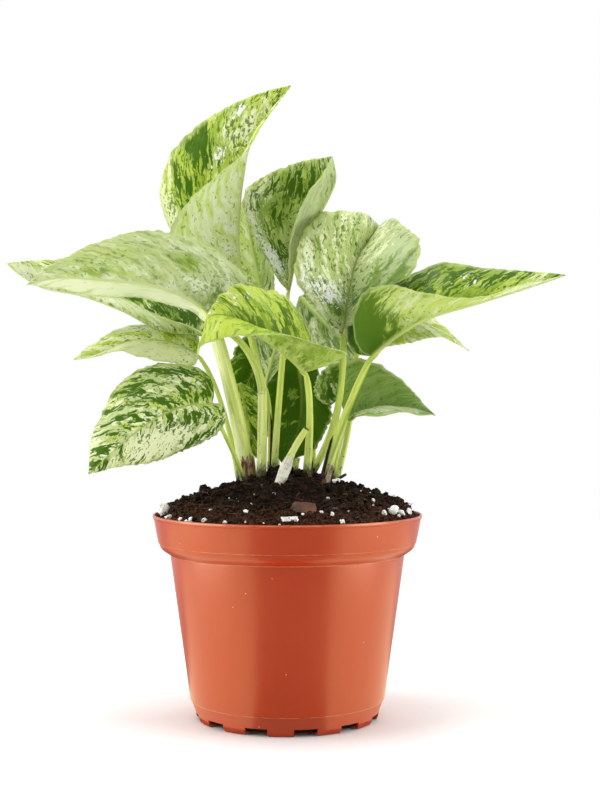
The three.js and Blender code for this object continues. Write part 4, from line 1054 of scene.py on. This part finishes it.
# A petiole: a smooth watery stalk, pale lime with green and cream lines along it, satin, lit through
# a little. Near the soil it is spattered with peat.
stalkLook = {
    # colours, then the width and length in mm of the lines and mottles along the stalk, and the spatter
    "lime": "#c6d464", "cream": "#e6edac", "green": "#80a02c", "deep": "#64802a", "blanched": "#e9e8da",
    "peat": "#21150c", "lineMm": (1.3, 40), "mottleMm": (2.2, 9), "mottleMost": 0.35,
    "spatterMm": (1.1, 1.1, 1.9), "spatterTurn": (0.5, 0.4, 0.7), "soiledMost": 0.9,
}
stalkSkin, tree = newMaterial("petioleSkin")
place = addNode(tree, "Attribute", attribute_name="stalkPlace").outputs["Vector"]
tones = addNode(tree, "Attribute", attribute_name="stalkTone").outputs
tone = addNode(tree, "SeparateColor", {"Color": tones["Color"]}).outputs
alongStalk = {}
for title, detail in (("lineMm", 4.0), ("mottleMm", 3.0)):
    wide, long = stalkLook[title]
    drawn = addNode(tree, "Mapping", {"Vector": place, "Scale": (1 / wide, 1 / long, 1)})
    alongStalk[title] = addNode(tree, "TexNoise", {"Vector": drawn, "Scale": 1.0, "Detail": detail})
lines = alongStalk["lineMm"]
paleLines = addNode(tree, "Math", {0: tone["Red"], 1: 0.7, 2: lines}, operation="MULTIPLY_ADD")
greenLines = addNode(tree, "Math", {0: tone["Green"], 1: 0.7, 2: lines}, operation="MULTIPLY_ADD")
colour = paintWhere(tree, paleLines, (0.72, 1.0), stalkLook["lime"], stalkLook["cream"])
colour = paintWhere(tree, greenLines, (0.74, 1.0), colour, stalkLook["green"])
mottles = alongStalk["mottleMm"]
colour = paintWhere(tree, mottles, (0.55, 0.75), colour, stalkLook["deep"], stalkLook["mottleMost"])
colour = addNode(tree, "Mix", {
    "Factor": tones["Alpha"], "A": colour, "B": stalkLook["blanched"]}, data_type="RGBA")
inSpace = addNode(tree, "TexCoord").outputs["Object"]
thrown = addNode(tree, "Mapping", {
    "Vector": inSpace, "Rotation": stalkLook["spatterTurn"],
    "Scale": [1 / (size * mm) for size in stalkLook["spatterMm"]]})
drops = addNode(tree, "TexNoise", {"Vector": thrown, "Scale": 1.0, "Detail": 3.0})
dropSum = addNode(tree, "Math", {0: tone["Blue"], 1: 0.2, 2: drops}, operation="MULTIPLY_ADD")
spatter = addNode(tree, "MapRange", {"Value": dropSum, "From Min": 0.765, "From Max": 0.79})
soilSum = addNode(tree, "Math", {0: drops, 1: 0.25, 2: tone["Blue"]}, operation="MULTIPLY_ADD")
soiled = addNode(tree, "MapRange", {
    "Value": soilSum, "From Min": 0.84, "From Max": 1.02, "To Max": stalkLook["soiledMost"]})
dirt = addNode(tree, "Math", {0: spatter, 1: soiled}, operation="MAXIMUM")
colour = addNode(tree, "Mix", {"Factor": dirt, "A": colour, "B": stalkLook["peat"]}, data_type="RGBA")
stalkBump = addNode(tree, "Bump", {"Height": lines, "Strength": 0.3, "Distance": 0.3 * mm})
stalkShader = addNode(tree, "BsdfPrincipled", {
    "Base Color": colour, "Roughness": 0.38, "IOR": 1.4, "Specular IOR Level": 0.35, "Normal": stalkBump,
    "Subsurface Weight": 0.18, "Subsurface Scale": 1.2 * mm, "Subsurface Radius": (1.0, 1.0, 0.4)})
addNode(tree, "OutputMaterial", {"Surface": stalkShader})

# the channel and the thicker neck under the blade are shares of the radius; mud splashes up this far
stalkMesh = {"around": 20, "steps": 54, "channel": 0.13, "neck": 0.12, "splashMm": 34, "sharpFrom": 50}
# How pale and how green each stalk's skin is, from 0 to 1, and the side its pale line faces. A stub
# also says how blanched it is at its foot, at its middle, just above that and at its top.
stalkTones = {
    "broad_left": (0.62, 0.3, 2.6), "long_right": (0.3, 0.55, 0), "arched_front": (0.4, 0.35, 1),
    "cupped": (0.35, 0.5, 2), "twin": (0.85, 0.06, 1.5), "upper": (0.35, 0.45, 1),
    "lime_left": (0.25, 0.55, 0), "hanging_left": (0.3, 0.5, 0), "drooping": (0.2, 0.6, 0),
    "low_right": (0.15, 0.7, 0),
    "stub_tall": (0.8, 0.25, 0, 0.9, 0.8, 0.15, 0), "stub_short": (0.5, 0.3, 0, 0.8, 0.5, 0.1, 0),
}
stalkRoutes = {}    # each stalk's path and radii, for the sheaths


def bezier(points, count):
    a, b, c, d = (np.array(point, float) for point in points)
    t = np.linspace(0, 1, count)[:, None]
    return (1 - t) ** 3 * a + 3 * t * (1 - t) ** 2 * b + 3 * t * t * (1 - t) * c + t ** 3 * d


def tubeAlong(name, path, radii, facing, tones, seed):
    # a stalk along the path; its channel faces the given way
    share = np.linspace(0, 1, stalkMesh["steps"] + 1)
    path = smoothCurve(path, share)
    ahead = unit(np.gradient(path, axis=0))
    front = unit(facing - (ahead @ facing)[:, None] * ahead)
    side = np.cross(ahead, front)
    turns = np.linspace(0, 2 * np.pi, stalkMesh["around"] + 1)
    wrapped = np.minimum(turns, 2 * np.pi - turns)    # the channel has a low ridge on both sides
    shape = (1 - stalkMesh["channel"] * np.exp(-(wrapped / 0.45) ** 2)
             + 0.05 * np.exp(-((wrapped - 0.8) / 0.3) ** 2))
    size = np.interp(share, np.linspace(0, 1, len(radii)), radii)
    spread = size[:, None] * shape[None]
    points = (path[:, None] + front[:, None] * (spread * np.cos(turns)[None])[..., None]
              + side[:, None] * (spread * np.sin(turns)[None])[..., None])
    stalk = gridPiece(name, stalkMesh["around"], stalkMesh["steps"], [stalkSkin])
    stalkRoutes[name] = (path, size)
    layPoints(stalk, points)
    length = np.linalg.norm(np.diff(path, axis=0), axis=1).sum()
    # the pattern's seam is mirrored at the back so that it meets itself
    rounds = turns[None] * size[:, None]
    rounds = np.minimum(rounds, 2 * np.pi * size[:, None] - rounds)
    flat = np.ones_like(rounds)
    writeAttribute(stalk, "stalkPlace", "FLOAT_VECTOR",
                   np.stack([rounds, (share * length)[:, None] * flat, seed * 3.1 * flat], -1))
    pale, green, towards, *blanching = tones
    paleSide = pale * (0.65 + 0.35 * np.cos(turns - towards))[None] * flat
    greenSide = green * (0.65 - 0.35 * np.cos(turns - towards))[None] * flat
    ground = np.array([moundHeight(x, y) for x, y in path[:, :2]])
    splash = np.clip(1 - (path[:, 2] - ground) / stalkMesh["splashMm"], 0, 1)
    if name.startswith("cut"):    # the cut end has dried dark
        splash = np.maximum(splash, np.clip((share - 0.965) / 0.02, 0, 1))
    blanch = np.interp(share, (0, 0.5, 0.62, 1), blanching or (0.12, 0, 0, 0))
    writeAttribute(stalk, "stalkTone", "FLOAT_COLOR",
                   np.stack([paleSide, greenSide, splash[:, None] * flat, blanch[:, None] * flat], -1))
    closeSeams(stalk)
    bpy.ops.object.mode_set(mode="EDIT")
    bpy.ops.mesh.select_all(action="DESELECT")
    bpy.ops.mesh.select_non_manifold()
    bpy.ops.mesh.edge_face_add()
    bpy.ops.object.mode_set(mode="OBJECT")
    facesOutward(stalk)
    bpy.ops.object.shade_smooth_by_angle(angle=math.radians(stalkMesh["sharpFrom"]))
    return stalk


def stalkTo(name, seed):
    # from the soil to the blade and on under its midrib, thinning into it
    shape = leaves[name]
    midrib, up = leafBases[name]
    line = bezier([*shape["stalk"], shape["midrib"][0]], 22)
    under = [midrib[row] - up * depth for row, depth in ((4, 1.0), (7, 0.85), (11, 0.6), (15, 0.35))]
    path = np.vstack([line[:-1], line[-1] - up * 0.9, under])
    meets = len(line) / len(path)
    base, top = shape["radii"]
    radii = []
    for knot in np.linspace(0, 1, 12):
        radius = base + (top - base) * min(knot / meets, 1)
        if knot >= meets:
            radius = top * (1 - (knot - meets) / (1 - meets)) + 0.35
        radii.append(radius * (1 + stalkMesh["neck"] * math.exp(-((knot - meets + 0.06) / 0.07) ** 2)))
    return tubeAlong("stalk_" + name, path, radii, up, stalkTones.get(name, (0.3, 0.45, seed)), seed)


# routes and radii in mm from the foot up, and the way each channel faces
twinStem = {"route": [(-15, -6, 122), (-14, -6, 156), (-14, -4, 179), (-14, -3, 185)],
            "radii": (2.9, 2.75, 2.7), "facing": (0.0, 1.0, 0.1), "leaves": ("tall", "trough_left")}
stubs = {
    "stub_tall": {"route": [(-7, -22, 121), (-2, -18, 141), (2, -14, 150), (11, -15, 163)],
                  "radii": (3.1, 3.1, 2.8, 2.5, 1.9, 1.9, 1.6), "facing": (0.2, 1.0, 0.3)},
    "stub_short": {"route": [(3, -8, 129), (4, -8, 135), (5, -8, 141), (6, -8, 146)],
                   "radii": (1.3, 1.25, 1.2), "facing": (0.2, 1.0, 0.3)},
}
twins = [tubeAlong("stem_twin_main", bezier(twinStem["route"], 16), twinStem["radii"],
                   np.array(twinStem["facing"]), stalkTones["twin"], 3)]
for seed, name in enumerate(leaves):
    stalk = stalkTo(name, seed)
    if name in twinStem["leaves"]:
        twins.append(stalk)
    else:
        keepAs(stalk, "stalk", "petiole_" + name)
keepAs(joinAll(twins), "stalk", "stem_twin")
for seed, (name, stub) in enumerate(stubs.items()):
    piece = tubeAlong("cut_" + name, bezier(stub["route"], 16), stub["radii"], np.array(stub["facing"]),
                      stalkTones[name], 30 + seed)
    keepAs(piece, "stub", name)
print("stalks made")

# Dead sheaths at the stalks' feet: papery, torn and ribbed along, from bleached white to rotted black.
sheathLook = {"tones": [(0.3, "#e3e0d2"), (0.5, "#b9a57c"), (0.7, "#7a4a30"), (0.92, "#17110c")],
              "ribMm": 0.5, "streakMm": 7, "blotchMm": 2.6}
sheathMesh = {"across": 14, "steps": 30, "thickMm": 0.25, "clearMm": 0.1, "narrows": 0.55, "sharpFrom": 50}
sheaths = {
    # its stalk, where it starts and ends as shares of the stalk, the side it lies on and half its width
    # in degrees, how rotted it is, and how far its top lifts in mm
    "sheath_brown": ("stalk_broad_left", 0.0, 0.26, 240, 105, 0.12, 0.7),
    "sheath_black": ("stalk_long_right", 0.0, 0.42, 338, 50, 0.5, 0.6),
    "sheath_split": ("stalk_long_right", 0.02, 0.24, 240, 40, -0.1, 1.3),
    "sheath_arched": ("stalk_arched_front", 0.0, 0.3, 196, 30, 0.45, 0.3),
    "sheath_thread": ("stalk_back_upright", 0.03, 0.75, 240, 34, 0.4, 0.4),
    "sheath_stub": ("cut_stub_tall", 0.0, 0.66, 250, 150, -0.22, 0.6),
}
sheathSkin, tree = newMaterial("sheathPapery")
place = addNode(tree, "Attribute", attribute_name="stalkPlace").outputs["Vector"]
rot = addNode(tree, "Attribute", attribute_name="sheathRot").outputs["Fac"]
ribbing = addNode(tree, "Mapping", {
    "Vector": place, "Scale": (1 / sheathLook["ribMm"], 1 / sheathLook["streakMm"], 1)})
ribs = addNode(tree, "TexNoise", {"Vector": ribbing, "Scale": 1.0, "Detail": 3.0})
blotch = addNode(tree, "TexNoise", {"Vector": place, "Scale": 1 / sheathLook["blotchMm"], "Detail": 3.0})
streaked = addNode(tree, "Math", {0: ribs, 1: 0.9, 2: rot}, operation="MULTIPLY_ADD")
rotting = addNode(tree, "Math", {0: blotch, 1: 0.7, 2: streaked}, operation="MULTIPLY_ADD")
rotShare = addNode(tree, "MapRange", {"Value": rotting, "From Min": 0.3, "From Max": 1.3})
rotTone = addNode(tree, "ValToRGB", {"Fac": rotShare})
for index, (stop, tone) in enumerate(sheathLook["tones"]):
    step = rotTone.color_ramp.elements[index] if index < 2 else rotTone.color_ramp.elements.new(stop)
    step.position = stop
    step.color = toLinear(tone)
ribBump = addNode(tree, "Bump", {"Height": ribs, "Strength": 0.6, "Distance": 0.3 * mm})
papery = addNode(tree, "BsdfPrincipled", {"Base Color": rotTone, "Roughness": 0.65, "Normal": ribBump})
addNode(tree, "OutputMaterial", {"Surface": papery})


def drySheath(name, stalkName, start, end, side, halfWidth, rotted, lift):
    # a torn strip that hugs its stalk at the foot and comes away at its ragged top
    path, size = stalkRoutes[stalkName]
    across, steps = sheathMesh["across"], sheathMesh["steps"]
    columns = np.arange(across + 1)
    ragged = np.array([0.8 + 0.45 * noise.noise(Vector((column * 0.9, side, 5))) for column in columns])
    middleAngle = math.radians(side)
    angles = np.radians(side + halfWidth * (2 * columns / across - 1))
    rise = np.linspace(0, 1, steps + 1)[:, None]
    lengths = start + (end - start) * rise * ragged
    knots = np.linspace(0, 1, len(path))
    ahead = unit(np.gradient(path, axis=0))
    right = unit(np.cross(ahead, (0, 1, 0)))
    front = np.cross(right, ahead)
    middle, right, front = (np.stack([np.interp(lengths, knots, way[:, k]) for k in range(3)], -1)
                            for way in (path, right, front))
    narrowed = middleAngle + (angles - middleAngle) * (1 - sheathMesh["narrows"] * rise ** 2)
    lifted = lift * rise ** 2 * (0.6 + 0.4 * np.sin(columns * 1.9))
    reach = np.interp(lengths, knots, size) + sheathMesh["clearMm"] + lifted
    outward = np.cos(narrowed)[..., None] * right + np.sin(narrowed)[..., None] * front
    points = middle + reach[..., None] * outward
    strip = gridPiece(name, across, steps, [sheathSkin])
    layPoints(strip, points.reshape(-1, 3))
    rounds = np.broadcast_to(columns * halfWidth / 90 * 0.35, lengths.shape)
    writeAttribute(strip, "stalkPlace", "FLOAT_VECTOR",
                   np.stack([rounds, lengths * 70, np.full(lengths.shape, float(side))], -1))
    writeAttribute(strip, "sheathRot", "FLOAT", np.full(lengths.size, rotted))
    applyModifier(strip, "SOLIDIFY", thickness=sheathMesh["thickMm"] * mm, offset=0)
    facesOutward(strip)
    bpy.ops.object.shade_smooth_by_angle(angle=math.radians(sheathMesh["sharpFrom"]))
    keepAs(strip, "stalk")


for name, sheath in sheaths.items():
    drySheath(name, *sheath)
print("sheaths made:", len(sheaths))
